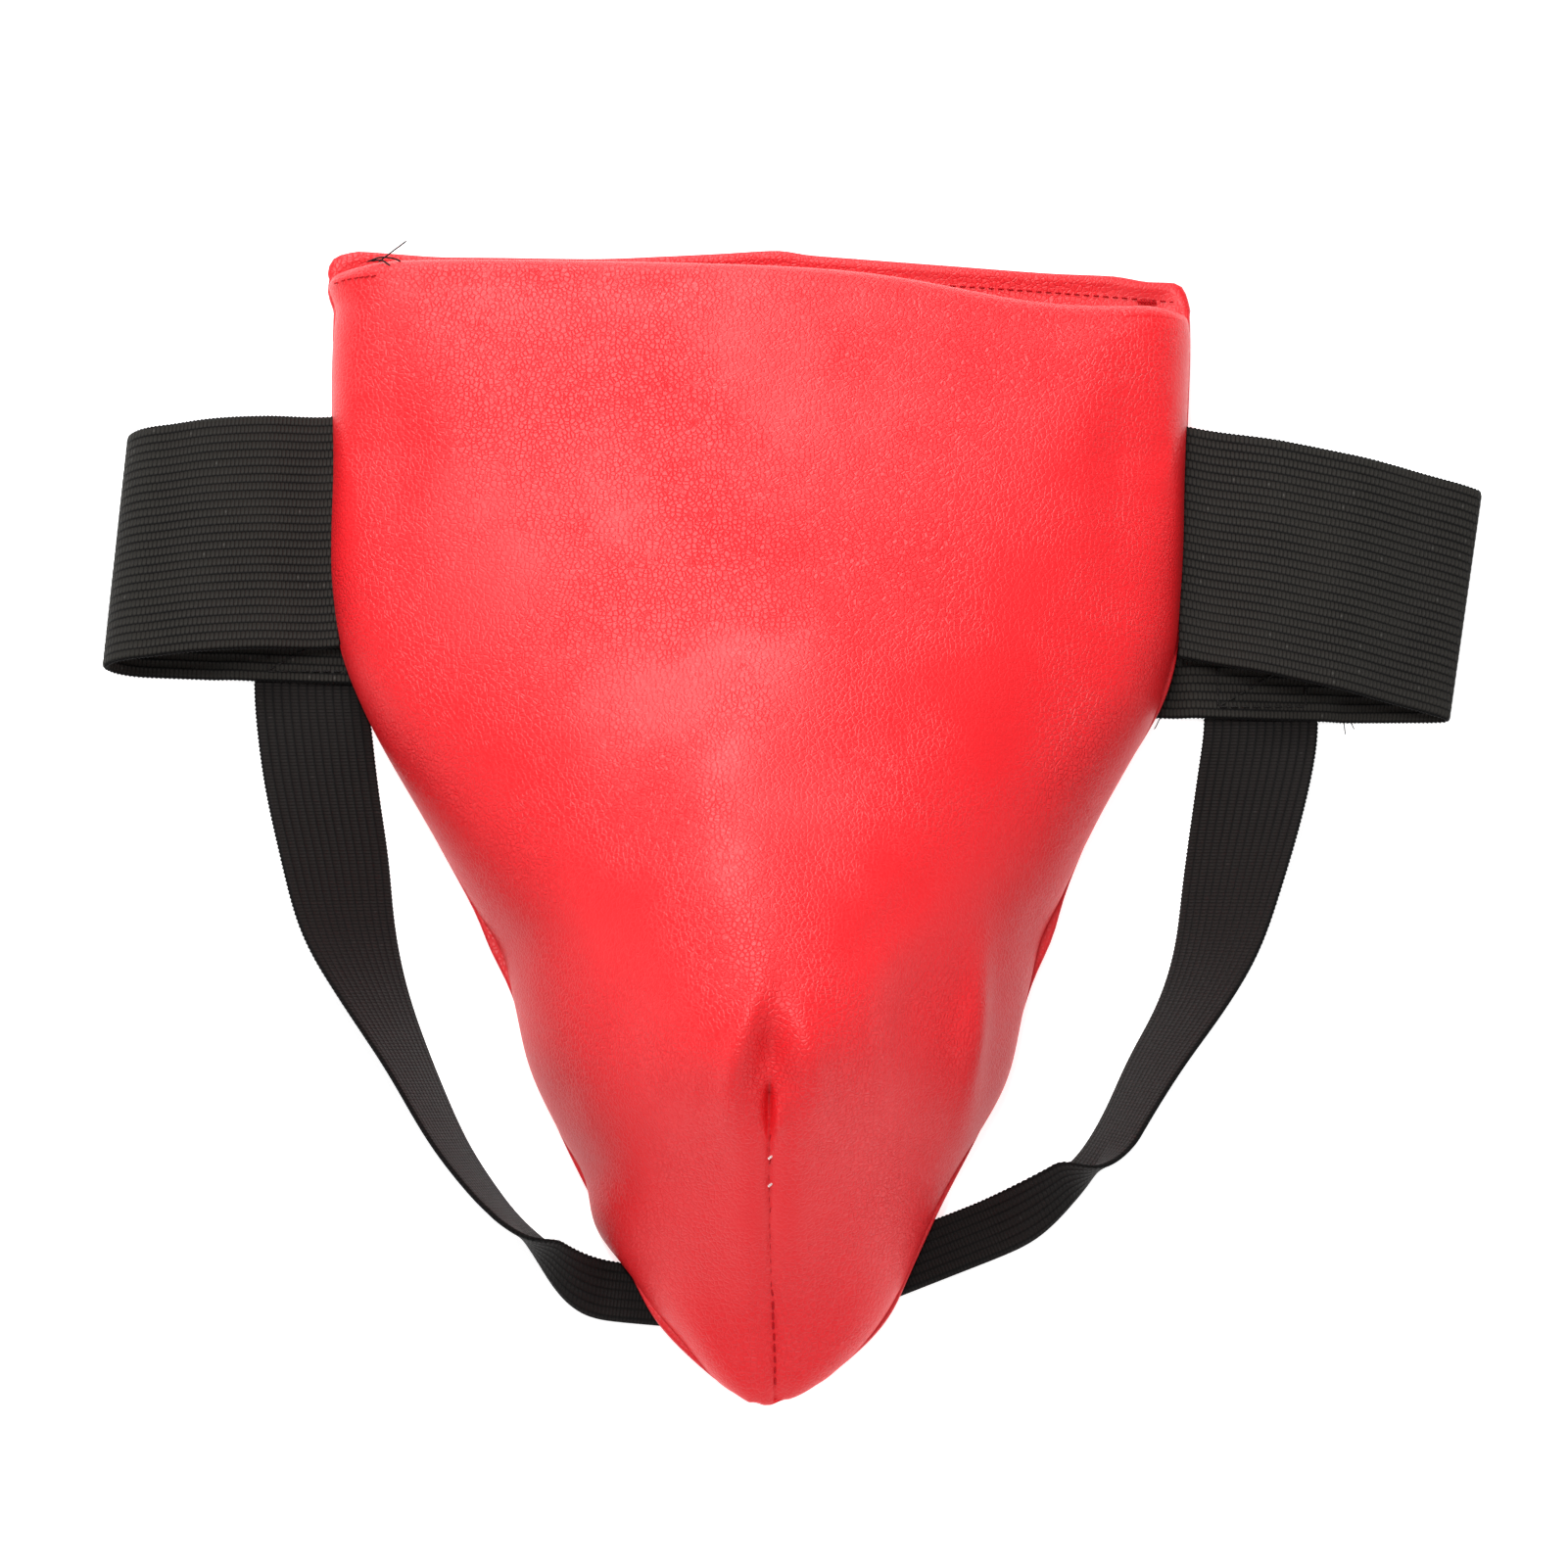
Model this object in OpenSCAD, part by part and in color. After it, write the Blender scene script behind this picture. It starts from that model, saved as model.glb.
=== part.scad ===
// Groin protector for boxing: a padded pocket panel with a removable hard cup, an elastic
// waist belt and two elastic leg straps. It lies on its back with the front face up:
// +X to the right, +Y towards the waist edge, +Z up, origin on the table under its middle.

/* [Panel] */
// Width of the panel across its waist corners
panel_w = 218; // [200:1:236]
// Length of the panel from the waist edge to the tip
panel_l = 294; // [270:1:318]
// Rise of the panel's crest over its padded sides, where the cup is deepest
crest_rise = 54; // [48:1:60]
// How far the back panel's hem stands above the front panel's edge
hem_reveal = 6.5; // [3:0.5:10]

/* [Layers] */
// Thickness of the leatherette covers
cover_t = 1.2; // [0.8:0.1:1.5]
// Thickness of the foam under the front cover
foam_t = 6.6; // [4:0.2:6.6]
// Thickness of the pocket's cloth lining
lining_t = 0.8; // [0.4:0.1:1]
// Space left between neighbouring layers
layer_gap = 0.35; // [0.3:0.05:0.4]

/* [Cup] */
// Width of the hard cup
cup_w = 93; // [84:1:95]
// Height of the hard cup above its soft rim
cup_h = 51; // [44:1:52]
// Wall thickness of the hard cup
cup_wall = 2.5; // [2:0.1:3.5]
// Thickness of the soft rim under the cup's edge
rim_t = 1.7; // [1:0.1:1.8]
// Width of the soft rim
rim_w = 5; // [3:0.5:7]
// Diameter of the cup's vent holes
vent_d = 5; // [3:0.5:7]

/* [Elastic] */
// Width of the waist belt's elastic
belt_w = 60; // [50:1:64]
// Thickness of the waist belt's elastic
belt_t = 1.6; // [1.2:0.1:1.6]
// Width of the leg straps' elastic
strap_w = 28; // [20:1:30]
// Thickness of the leg straps' elastic
strap_t = 1.4; // [1:0.1:1.4]

/* [Stitching] */
// Length of one stitch
stitch_l = 3; // [2:0.1:3.4]
// Width of the sewing thread
thread_w = 0.6; // [0.4:0.1:0.8]
// Distance from one stitch to the next
stitch_pitch = 4.2; // [3.8:0.1:6]

/* [Hidden] */

RED = "#f0464b";
DEEP_RED = "#c81e28";
FOAM_GREY = "#8c8c90";
BLACK = "#1c1a1a";
CHARCOAL = "#302e2d";
CUP_WHITE = "#e8e6e0";

// Height of the back cover's upper face above the table
seat_z = 5.4;
// Stretch of the panel's laid-out stations to the driving sizes
grow_x = panel_w / 218;
grow_y = panel_l / 294;
grow_crest = crest_rise / 54;
// Where the panel's side seams lie from waist to tip, with the height of its padded side and
// the rise of its crest: [left x, left y, right x, right y, side height, crest rise]
PANEL = [
    [-114.6, 141.5, 101.6, 132.2, 13.5, 4],
    [-116.5, 122, 101.5, 118, 15, 6],
    [-116, 90, 100, 90, 15.5, 9],
    [-115.5, 58, 98.5, 58, 16, 13],
    [-109.5, 33, 94, 31, 16, 19],
    [-91, -1, 76, -1, 15, 32],
    [-72, -37, 61, -38, 15, 48],
    [-60, -72, 50.5, -70, 14, 54],
    [-46.5, -100, 36.5, -98, 12, 30],
    [-32.5, -125, 23.5, -124, 9, 7],
    [-19, -139.5, 10, -138.5, 5.5, 1],
    [-9, -144.8, -2, -144.4, 0.6, 0]
];
// Share of the waist edge that the hem runs along between its cut corners
hem_share = 0.965;
// How far the middle of the waist edge bows up between its corners
waist_bow = 2.6;
rows = 30;
top_steps = 16;
side_steps = 5;
// Share of a section's steps that lie on its padded top
top_share = top_steps / (top_steps + 2 * side_steps);
// Last row that holds padding: the tip beyond it is too thin for foam
foam_rows = 24;

// Height of the flattened sewing thread
thread_h = 0.7 * thread_w;
// Depths of the layers below the outer skin
foam_top = cover_t + layer_gap;
foam_bottom = foam_top + foam_t;
lining_top = foam_bottom + layer_gap;
lining_bottom = lining_top + lining_t;

// The cup's outline and profile from top to bottom: [y, half width, height], for a cup
// 93 wide and 51 high
CUP = [
    [-7, 24, 2], [-12, 37, 17], [-24, 44, 33], [-42, 46.5, 45], [-60, 45, 51],
    [-74, 40.5, 49], [-86, 34.5, 40], [-98, 27.5, 28], [-108, 20, 17.5],
    [-116, 12.5, 8], [-120, 5, 1.5]
];
cup_rows = 26;
cup_steps = 24;
cup_x = -5;
// The soft rim rests just clear of the stitches along the pocket's mouth
rim_z = seat_z + 0.6;
cup_z = rim_z + rim_t + 0.05;

// The belt's path from its left end to its right end, round the back: centre line [x, y, z]
// and how far its upper edge leans towards +X over the belt's width
BELT = [
    [-117.4, 73, 6.0, 0], [-134, 72, 10.5, 1], [-150, 70.3, 13.2, 3],
    [-161, 68.8, 13.2, 4.5], [-167.5, 68.2, 10.6, 4.6], [-169.8, 67.6, 7.2, 4.6],
    [-167.5, 67.2, 3.4, 4.6], [-161, 66.8, 0.8, 4], [-146, 66.2, 0.8, 2],
    [-139, 65.8, 2.3, 1], [-104, 64.4, 2.3, 0], [-97, 64, 0.8, 0],
    [96, 56.2, 0.8, 0], [102, 56, 2.3, 0], [135, 55, 2.3, 4], [143, 54.9, 0.8, 6],
    [164, 54.7, 0.8, 9.9], [169.4, 54.8, 1.0, 9.9], [170.2, 54.9, 2.0, 9.9],
    [169, 55.2, 3.1, 9.9], [156, 58, 7, 9.6], [138, 61.8, 11.3, 8], [122, 65.4, 10.8, 6],
    [103.2, 69.6, 6.6, 2]
];

// The leg straps' inner edges: [x, y, direction of the outer edge in degrees, tilt off the
// table, width share, layers]. The lower end is folded double lengthwise.
LEFT_STRAP = [
    [-107, 32.6, 180, 0, 1, 1], [-104, 9, 184, 15, 1, 1], [-101, -10, 186, 26, 1, 1],
    [-99, -28, 190, 40, 1, 1], [-95.5, -44, 196, 56, 1, 1], [-89, -62, 203, 68, 1, 1],
    [-80, -82, 210, 74, 1, 1], [-70, -97, 222, 72, 1, 1], [-61, -106, 234, 58, 0.86, 1.2],
    [-53, -110.6, 252, 30, 0.6, 1.7], [-47, -111.4, 262, 2, 0.5, 2], [-44.5, -111.6, 264, 0, 0.5, 2]
];
RIGHT_STRAP = [
    [104.5, 23.4, 0, 0, 1, 1], [102, 8, -4, 16, 1, 1], [98.5, -15, -7, 34, 1, 1],
    [96, -33, -14, 48, 1, 1], [91.5, -47, -20, 58, 1, 1], [84, -61, -26, 64, 1, 1],
    [77, -76, -32, 66, 1, 1], [70, -86.5, -42, 60, 0.86, 1.2], [60, -92, -58, 32, 0.64, 1.6],
    [51, -95, -66, 2, 0.5, 2], [46, -97, -68, 0, 0.5, 2]
];
strap_rings = 30;
// Folded ends under the tip: [x, y, direction of the outer edge]
LEFT_TIP_END = [[-40.6, -112, 264], [-12, -114.5, 266]];
RIGHT_TIP_END = [[42.2, -98.5, -68], [9, -111.5, -70]];
// Length of the straps' upper ends under the belt
strap_lap = 22;
tip_end_z = 0.5;

// ---------- curves ----------

// Smooth curve through the points, from t = 0 at the first to t = 1 at the last
function spline(pts, t) =
    let (n = len(pts) - 1, s = min(t * n, n - 0.000001), i = floor(s), f = s - i,
        a = pts[max(i - 1, 0)], b = pts[i], c = pts[i + 1], d = pts[min(i + 2, n)])
    0.5 * (2 * b + (c - a) * f + (2 * a - 5 * b + 4 * c - d) * f * f
        + (3 * b - a - 3 * c + d) * f * f * f);

// Rows lie closer together towards the tip
function row_v(j) = 1 - pow(1 - j / rows, 1.25);

function panel_station(v) =
    let (s = spline(PANEL, v))
    [s[0] * grow_x, s[1] * grow_y, s[2] * grow_x, s[3] * grow_y, s[4], s[5] * grow_crest];

// A point of the panel's section at row position v. q runs from -1 at the left seam to 1 at
// the right seam, and depth is the distance below the outer skin.
function panel_point(v, q, depth) =
    let (s = panel_station(v),
        mid = [s[0] + s[2], s[1] + s[3]] / 2,
        half = [s[2] - s[0], s[3] - s[1]] / 2,
        full_w = norm(half),
        w = max(full_w - depth, 0.6),
        side_h = max(s[4] - depth, 0.2),
        r = min(max(s[4] - depth, 0.2), 0.9 * w),
        a = abs(q),
        turn = 90 * max(0, a - top_share) / (1 - top_share),
        across = a < top_share ? (w - r) * a / top_share : w - r + r * sin(turn),
        u = sign(q) * across / full_w,
        bump = pow(max(0, 1 - u * u), 1.2),
        xy = mid + half * u,
        bow = waist_bow * (1 - u * u) * pow(1 - v, 10))
    [xy[0], xy[1] + bow + depth * pow(v, 8), seat_z + 0.1 + (side_h + s[5] * bump) * cos(turn)];

function grid_steps() = top_steps + 2 * side_steps;

function panel_grid(depth, last_row) =
    [for (j = [0:last_row]) for (i = [0:grid_steps()])
        panel_point(row_v(j), 2 * i / grid_steps() - 1, depth)];

// ---------- solids from grids ----------

// Faces of the solid between an outer grid and an inner grid of the same size
function between_faces(n_rows, n_steps) =
    let (c = n_steps + 1, m = (n_rows + 1) * c)
    concat(
        [for (j = [0:n_rows - 1]) for (i = [0:n_steps - 1]) for (f = [
            [j * c + i, j * c + i + 1, (j + 1) * c + i],
            [j * c + i + 1, (j + 1) * c + i + 1, (j + 1) * c + i]]) f],
        [for (j = [0:n_rows - 1]) for (i = [0:n_steps - 1]) for (f = [
            [m + j * c + i, m + (j + 1) * c + i, m + j * c + i + 1],
            [m + j * c + i + 1, m + (j + 1) * c + i, m + (j + 1) * c + i + 1]]) f],
        [for (i = [0:n_steps - 1]) for (f = [
            [i, m + i, i + 1], [i + 1, m + i, m + i + 1],
            [n_rows * c + i, n_rows * c + i + 1, m + n_rows * c + i],
            [n_rows * c + i + 1, m + n_rows * c + i + 1, m + n_rows * c + i]]) f],
        [for (j = [0:n_rows - 1]) for (f = [
            [j * c, (j + 1) * c, m + j * c],
            [m + j * c, (j + 1) * c, m + (j + 1) * c],
            [j * c + n_steps, m + j * c + n_steps, (j + 1) * c + n_steps],
            [m + j * c + n_steps, m + (j + 1) * c + n_steps, (j + 1) * c + n_steps]]) f]);

module panel_layer(depth_out, depth_in, last_row) {
    polyhedron(
        points = concat(panel_grid(depth_out, last_row), panel_grid(depth_in, last_row)),
        faces = between_faces(last_row, grid_steps()));
}

// A bar of four-cornered rings, closed at both ends. Each ring is [a, b, c, d].
module ring_bar(rings) {
    n = len(rings) - 1;
    polyhedron(
        points = [for (ring = rings) each ring],
        faces = concat(
            [[0, 1, 2, 3]],
            [for (j = [0:n - 1]) for (k = [0:3]) for (f = [
                [4 * j + k, 4 * (j + 1) + k, 4 * (j + 1) + (k + 1) % 4],
                [4 * j + k, 4 * (j + 1) + (k + 1) % 4, 4 * j + (k + 1) % 4]]) f],
            [[4 * n + 3, 4 * n + 2, 4 * n + 1, 4 * n]]));
}

// ---------- panel ----------

module front_cover() {
    color(RED) panel_layer(0, cover_t, rows);
}

module front_foam() {
    color(FOAM_GREY) panel_layer(foam_top, foam_bottom, foam_rows);
}

module pocket_lining() {
    color(BLACK) panel_layer(lining_top, lining_bottom, foam_rows);
}

// A point of the back cover's edge, inset from the side seam. side is -1 left, 1 right.
function seam_edge(v, side, inset) =
    let (s = panel_station(v), half = [s[2] - s[0], s[3] - s[1]] / 2,
        mid = [s[0] + s[2], s[1] + s[3]] / 2)
    mid + side * half * (1 - inset / norm(half));

// The hemmed waist edge of the back cover from left to right, lowered by drop
function hem_point(u, drop) =
    let (s = panel_station(0))
    [(s[0] + s[2]) / 2 + (s[2] - s[0]) / 2 * u,
        (s[1] + s[3]) / 2 + (s[3] - s[1]) / 2 * u
        + waist_bow * (1 - u * u) + hem_reveal - drop];

module back_cover() {
    color(DEEP_RED) translate([0, 0, seat_z - cover_t]) linear_extrude(cover_t) polygon(concat(
        [for (j = [rows:-1:0]) seam_edge(row_v(j), -1, -0.4)],
        [for (k = [0:12]) hem_point((k / 6 - 1) * hem_share, 0)],
        [for (j = [0:rows]) seam_edge(row_v(j), 1, -0.4)]));
}

// ---------- cup ----------

function cup_station(t) =
    let (s = spline(CUP, t)) [s[0], s[1] * cup_w / 93, s[2] * cup_h / 51];

// A point of the cup's shell, depth below its outer face
function cup_point(t, q, depth) =
    let (s = cup_station(t), w = max(s[1] - depth, 0.8), h = max(s[2] - depth, 0.3),
        pull = depth * (pow(1 - t, 8) - pow(t, 8)))
    [cup_x + w * sin(90 * q), s[0] - pull, cup_z + h * cos(90 * q)];

function cup_grid(depth) =
    [for (j = [0:cup_rows]) for (i = [0:cup_steps])
        cup_point(j / cup_rows, 2 * i / cup_steps - 1, depth)];

module cup_shell() {
    color(CUP_WHITE) difference() {
        polyhedron(
            points = concat(cup_grid(0), cup_grid(cup_wall)),
            faces = between_faces(cup_rows, cup_steps));
        for (y = [-34, -50, -66])
            translate([cup_x, y, cup_z + cup_h / 2]) cylinder(h = cup_h, d = vent_d, $fn = 24);
        for (side = [-1, 1]) for (y = [-42, -58])
            translate([cup_x + 14 * side, y, cup_z + cup_h / 2])
                cylinder(h = cup_h, d = vent_d, $fn = 24);
    }
}

function cup_outline(inset) = concat(
    [for (j = [0:cup_rows]) let (s = cup_station(j / cup_rows))
        [cup_x - max(s[1] - inset, 0.8), s[0] - inset * (1 - 2 * j / cup_rows)]],
    [for (j = [cup_rows:-1:0]) let (s = cup_station(j / cup_rows))
        [cup_x + max(s[1] - inset, 0.8), s[0] - inset * (1 - 2 * j / cup_rows)]]);

module cup_rim() {
    color(BLACK) translate([0, 0, rim_z]) linear_extrude(rim_t) difference() {
        polygon(cup_outline(0));
        polygon(cup_outline(rim_w));
    }
}

// ---------- elastic ----------

// A belt ring: centre c, unit path direction d, and the lean of the upper edge
function belt_ring(c, d, lean) =
    let (up = [lean, sqrt(belt_w * belt_w - lean * lean), 0] / 2,
        n = cross(d, up) / norm(cross(d, up)) * belt_t / 2)
    [c - up - n, c - up + n, c + up + n, c + up - n];

module waist_belt() {
    last = len(BELT) - 1;
    function centre(i) = [BELT[i][0], BELT[i][1], BELT[i][2]];
    color(CHARCOAL) ring_bar([for (i = [0:last])
        let (ahead = centre(min(i + 1, last)) - centre(i),
            behind = centre(i) - centre(max(i - 1, 0)),
            a = norm(ahead) > 0 ? ahead / norm(ahead) : [0, 0, 0],
            b = norm(behind) > 0 ? behind / norm(behind) : [0, 0, 0])
        belt_ring(centre(i), (a + b) / norm(a + b), BELT[i][3])]);
}

// A strap ring from its inner edge: the outer edge lies at an angle in plan and a tilt
function strap_ring(x, y, angle, tilt, width, t, lift) =
    let (across = [cos(angle) * cos(tilt), sin(angle) * cos(tilt), sin(tilt)] * width,
        n = [-cos(angle) * sin(tilt), -sin(angle) * sin(tilt), cos(tilt)] * t / 2,
        inner = [x, y, t / 2 + lift])
    [inner - n, inner + n, inner + across + n, inner + across - n];

module leg_strap(stations) {
    ring_bar([for (k = [0:strap_rings])
        let (s = spline(stations, k / strap_rings))
        strap_ring(s[0], s[1], s[2], max(0, s[3]), s[4] * strap_w, s[5] * strap_t, 0)]);
}

// The strap's two sewn ends: one under the belt, one folded double under the tip
module strap_ends(stations, tip_end, side) {
    top = stations[0];
    translate([min(top[0], top[0] + side * strap_w), top[1] + 0.4, 0])
        cube([strap_w, strap_lap, strap_t]);
    from_left = side < 0 ? [0, 1] : [1, 0];
    ring_bar([for (k = from_left) let (e = tip_end[k])
        strap_ring(e[0], e[1], e[2], 0, strap_w / 2, 2 * strap_t, tip_end_z)]);
}

module left_leg_strap() {
    color(BLACK) mirror([1, 0, 0]) leg_strap([for (s = LEFT_STRAP)
        [-s[0], s[1], 180 - s[2], s[3], s[4], s[5]]]);
}

module left_strap_ends() {
    color(BLACK) strap_ends(LEFT_STRAP, LEFT_TIP_END, -1);
}

module right_leg_strap() {
    color(BLACK) leg_strap(RIGHT_STRAP);
}

module right_strap_ends() {
    color(BLACK) strap_ends(RIGHT_STRAP, RIGHT_TIP_END, 1);
}

// ---------- stitching ----------

// One stitch lying at p, pointing along direction d
module stitch(p, d, length) {
    flat = norm([d[0], d[1]]);
    translate(p) rotate([0, -atan2(d[2], flat), atan2(d[1], d[0])])
        translate([-length / 2, -thread_w / 2, 0]) cube([length, thread_w, thread_h]);
}

// The dart runs down the panel's keel from under the crest to the tip
module centre_seam_stitching() {
    first = 0.66;
    last = 0.95;
    count = 19;
    lift = 0.5;
    color(DEEP_RED) for (k = [0:count - 1])
        let (t = k / (count - 1),
            v = first + (last - first) * (0.6 * t + 0.4 * t * t),
            p = panel_point(v, 0, 0), next = panel_point(v + 0.01, 0, 0))
        stitch([p[0], p[1], p[2] + lift], next - p, stitch_l);
}

module mouth_hem_stitching() {
    stitches = floor(panel_w / stitch_pitch) - 3;
    color(DEEP_RED) for (k = [0:stitches - 1])
        let (u = (2 * (k + 0.5) / stitches - 1) * 0.93,
            p = hem_point(u, hem_reveal - 1), next = hem_point(u + 0.02, hem_reveal - 1))
        stitch([p[0], p[1], seat_z + 0.05], [next[0] - p[0], next[1] - p[1], 0], stitch_l);
}

// Dense short stitches across the end of the mouth
module bartack(side) {
    tack_l = 9;
    turns = 7;
    for (k = [0:turns - 1])
        let (p = hem_point(side * (0.965 - 0.011 * k), hem_reveal / 2 - 1.2))
        stitch([p[0], p[1], seat_z + 0.05], [0.25 * side, 1, 0], tack_l / 3);
}

module left_bartack() {
    color(DEEP_RED) bartack(-1);
}

module right_bartack() {
    color(DEEP_RED) bartack(1);
}

// Stitches under the back cover, a little inside the side seam
module side_stitching(side) {
    count = 52;
    inset = 3.5;
    for (k = [0:count - 1])
        let (v = 0.02 + 0.82 * k / (count - 1),
            p = seam_edge(v, side, inset), next = seam_edge(v + 0.01, side, inset))
        stitch([p[0], p[1], seat_z - cover_t - thread_h - 0.05],
            [next[0] - p[0], next[1] - p[1], 0], stitch_l);
}

module left_side_stitching() {
    color(DEEP_RED) side_stitching(-1);
}

module right_side_stitching() {
    color(DEEP_RED) side_stitching(1);
}

// A sewn box that holds a strap's upper end to the belt's back layer
module strap_stitching(stations, side) {
    top = stations[0];
    x0 = min(top[0], top[0] + side * strap_w) + 3;
    z = 2.3 + belt_t / 2 + 0.1;
    count = 6;
    pitch = (strap_w - 6) / count;
    for (k = [0:count - 1]) for (y = [5, 18])
        stitch([x0 + pitch * (k + 0.5), top[1] + y, z], [1, 0, 0], stitch_l * 0.9);
    for (y = [8:3.4:16]) for (x = [x0, x0 + strap_w - 6])
        stitch([x, top[1] + y, z], [0, 1, 0], stitch_l * 0.8);
}

module left_strap_stitching() {
    color(CHARCOAL) strap_stitching(LEFT_STRAP, -1);
}

module right_strap_stitching() {
    color(CHARCOAL) strap_stitching(RIGHT_STRAP, 1);
}

// Two short rows across each folded strap end under the tip
module tip_stitching() {
    rows_in = [10, 15];
    color(DEEP_RED) for (e = [LEFT_TIP_END, RIGHT_TIP_END])
        let (d = [cos(e[1][2]), sin(e[1][2]), 0],
            back = [e[0][0] - e[1][0], e[0][1] - e[1][1], 0] / norm([e[0][0] - e[1][0], e[0][1] - e[1][1]]))
        for (r = rows_in) for (k = [0:2])
            let (p = [e[1][0], e[1][1], 0] + back * r + d * (3 + 4 * k))
            stitch([p[0], p[1], tip_end_z - thread_h - 0.05], d, stitch_l);
}

front_cover();
front_foam();
pocket_lining();
back_cover();
cup_shell();
cup_rim();
waist_belt();
left_leg_strap();
left_strap_ends();
right_leg_strap();
right_strap_ends();
centre_seam_stitching();
mouth_hem_stitching();
left_bartack();
right_bartack();
left_side_stitching();
right_side_stitching();
left_strap_stitching();
right_strap_stitching();
tip_stitching();
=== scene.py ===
"""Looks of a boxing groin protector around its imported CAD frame.

The shapes are worked out in millimetres in the CAD's own frame and turned into metres when a mesh
is made. It lies on its back on the floor with the front face up: +X right, +Y towards the waist.
"""

import math
import random

import bpy
import numpy as np
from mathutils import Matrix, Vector, noise


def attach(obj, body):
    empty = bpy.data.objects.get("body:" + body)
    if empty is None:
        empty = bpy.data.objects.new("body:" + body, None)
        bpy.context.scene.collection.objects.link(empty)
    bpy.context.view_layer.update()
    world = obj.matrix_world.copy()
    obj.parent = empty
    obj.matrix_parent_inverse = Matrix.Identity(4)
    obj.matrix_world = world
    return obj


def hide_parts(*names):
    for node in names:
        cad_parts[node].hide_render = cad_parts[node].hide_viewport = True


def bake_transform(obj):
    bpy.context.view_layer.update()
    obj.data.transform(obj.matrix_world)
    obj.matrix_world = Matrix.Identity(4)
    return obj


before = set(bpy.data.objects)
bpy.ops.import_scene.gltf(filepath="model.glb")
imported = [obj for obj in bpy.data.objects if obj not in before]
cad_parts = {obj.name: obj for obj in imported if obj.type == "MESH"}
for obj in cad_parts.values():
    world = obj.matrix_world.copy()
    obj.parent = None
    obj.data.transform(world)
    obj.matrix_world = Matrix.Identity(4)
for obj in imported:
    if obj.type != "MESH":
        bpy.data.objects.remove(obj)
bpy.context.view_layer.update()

MM = 0.001

# --- sizes shared with the CAD model ---

SEAT_Z = 5.4
COVER_T = 1.2
FOAM_T = 6.6
LINING_T = 0.8
LAYER_GAP = 0.35
FOAM_TOP = COVER_T + LAYER_GAP
FOAM_BOTTOM = FOAM_TOP + FOAM_T
LINING_TOP = FOAM_BOTTOM + LAYER_GAP
LINING_BOTTOM = LINING_TOP + LINING_T
WAIST_BOW = 2.6
HEM_STITCH_RISE = 1.4
TOP_SHARE = 16 / 26
# How much closer together the panel's rows lie towards the tip
ROW_CROWDING = 1.25
# Where the foam and the lining begin below the mouth, and where both end towards the tip
FOAM_FIRST = 0.036
LINING_FIRST = 0.062
FOAM_END = 1 - (1 - 24 / 30) ** ROW_CROWDING

# Side seams from waist to tip: left x, left y, right x, right y, side height, rise of the crest
PANEL = np.array([
    [-114.6, 141.5, 101.6, 132.2, 13.5, 4], [-116.5, 122, 101.5, 118, 15, 6], [-116, 90, 100, 90, 15.5, 9],
    [-115.5, 58, 98.5, 58, 16, 13], [-109.5, 33, 94, 31, 16, 19], [-91, -1, 76, -1, 15, 32],
    [-72, -37, 61, -38, 15, 48], [-60, -72, 50.5, -70, 14, 54], [-46.5, -100, 36.5, -98, 12, 30],
    [-32.5, -125, 23.5, -124, 9, 7], [-19, -139.5, 10, -138.5, 5.5, 1], [-9, -144.8, -2, -144.4, 0.6, 0],
])

CUP_X = -5.0
RIM_Z = SEAT_Z + 0.6
RIM_T = 1.7
RIM_W = 5.0
RIM_RINGS = 260
CUP_Z = RIM_Z + RIM_T + 0.05
CUP_WALL = 2.5
VENT_D = 5.0
CUP = np.array([
    [-7, 24, 2], [-12, 37, 17], [-24, 44, 33], [-42, 46.5, 45], [-60, 45, 51], [-74, 40.5, 49],
    [-86, 34.5, 40], [-98, 27.5, 28], [-108, 20, 17.5], [-116, 12.5, 8], [-120, 5, 1.5],
])

BELT_W = 60.0
BELT_T = 1.6
BELT_RIBS = 28
BELT_BACK_Z = 2.3
# Centre line of the belt round the back, and how far its upper edge leans towards +X
BELT = np.array([
    [-117.4, 73, 6.0, 0], [-134, 72, 10.5, 1], [-150, 70.3, 13.2, 3], [-161, 68.8, 13.2, 4.5],
    [-167.5, 68.2, 10.6, 4.6], [-169.8, 67.6, 7.2, 4.6], [-167.5, 67.2, 3.4, 4.6],
    [-161, 66.8, 0.8, 4], [-146, 66.2, 0.8, 2], [-139, 65.8, 2.3, 1], [-104, 64.4, 2.3, 0],
    [-97, 64, 0.8, 0], [96, 56.2, 0.8, 0], [102, 56, 2.3, 0], [135, 55, 2.3, 4],
    [143, 54.9, 0.8, 6], [164, 54.7, 0.8, 9.9], [169.4, 54.8, 1.0, 9.9], [170.2, 54.9, 2.0, 9.9],
    [169, 55.2, 3.1, 9.9], [156, 58, 7, 9.6], [138, 61.8, 11.3, 8], [122, 65.4, 10.8, 6],
    [103.2, 69.6, 6.6, 2],
])

STRAP_W = 28.0
STRAP_T = 1.4
STRAP_RIBS = 13
STRAP_LAP = 22.0
TIP_END_Z = 0.5
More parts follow.
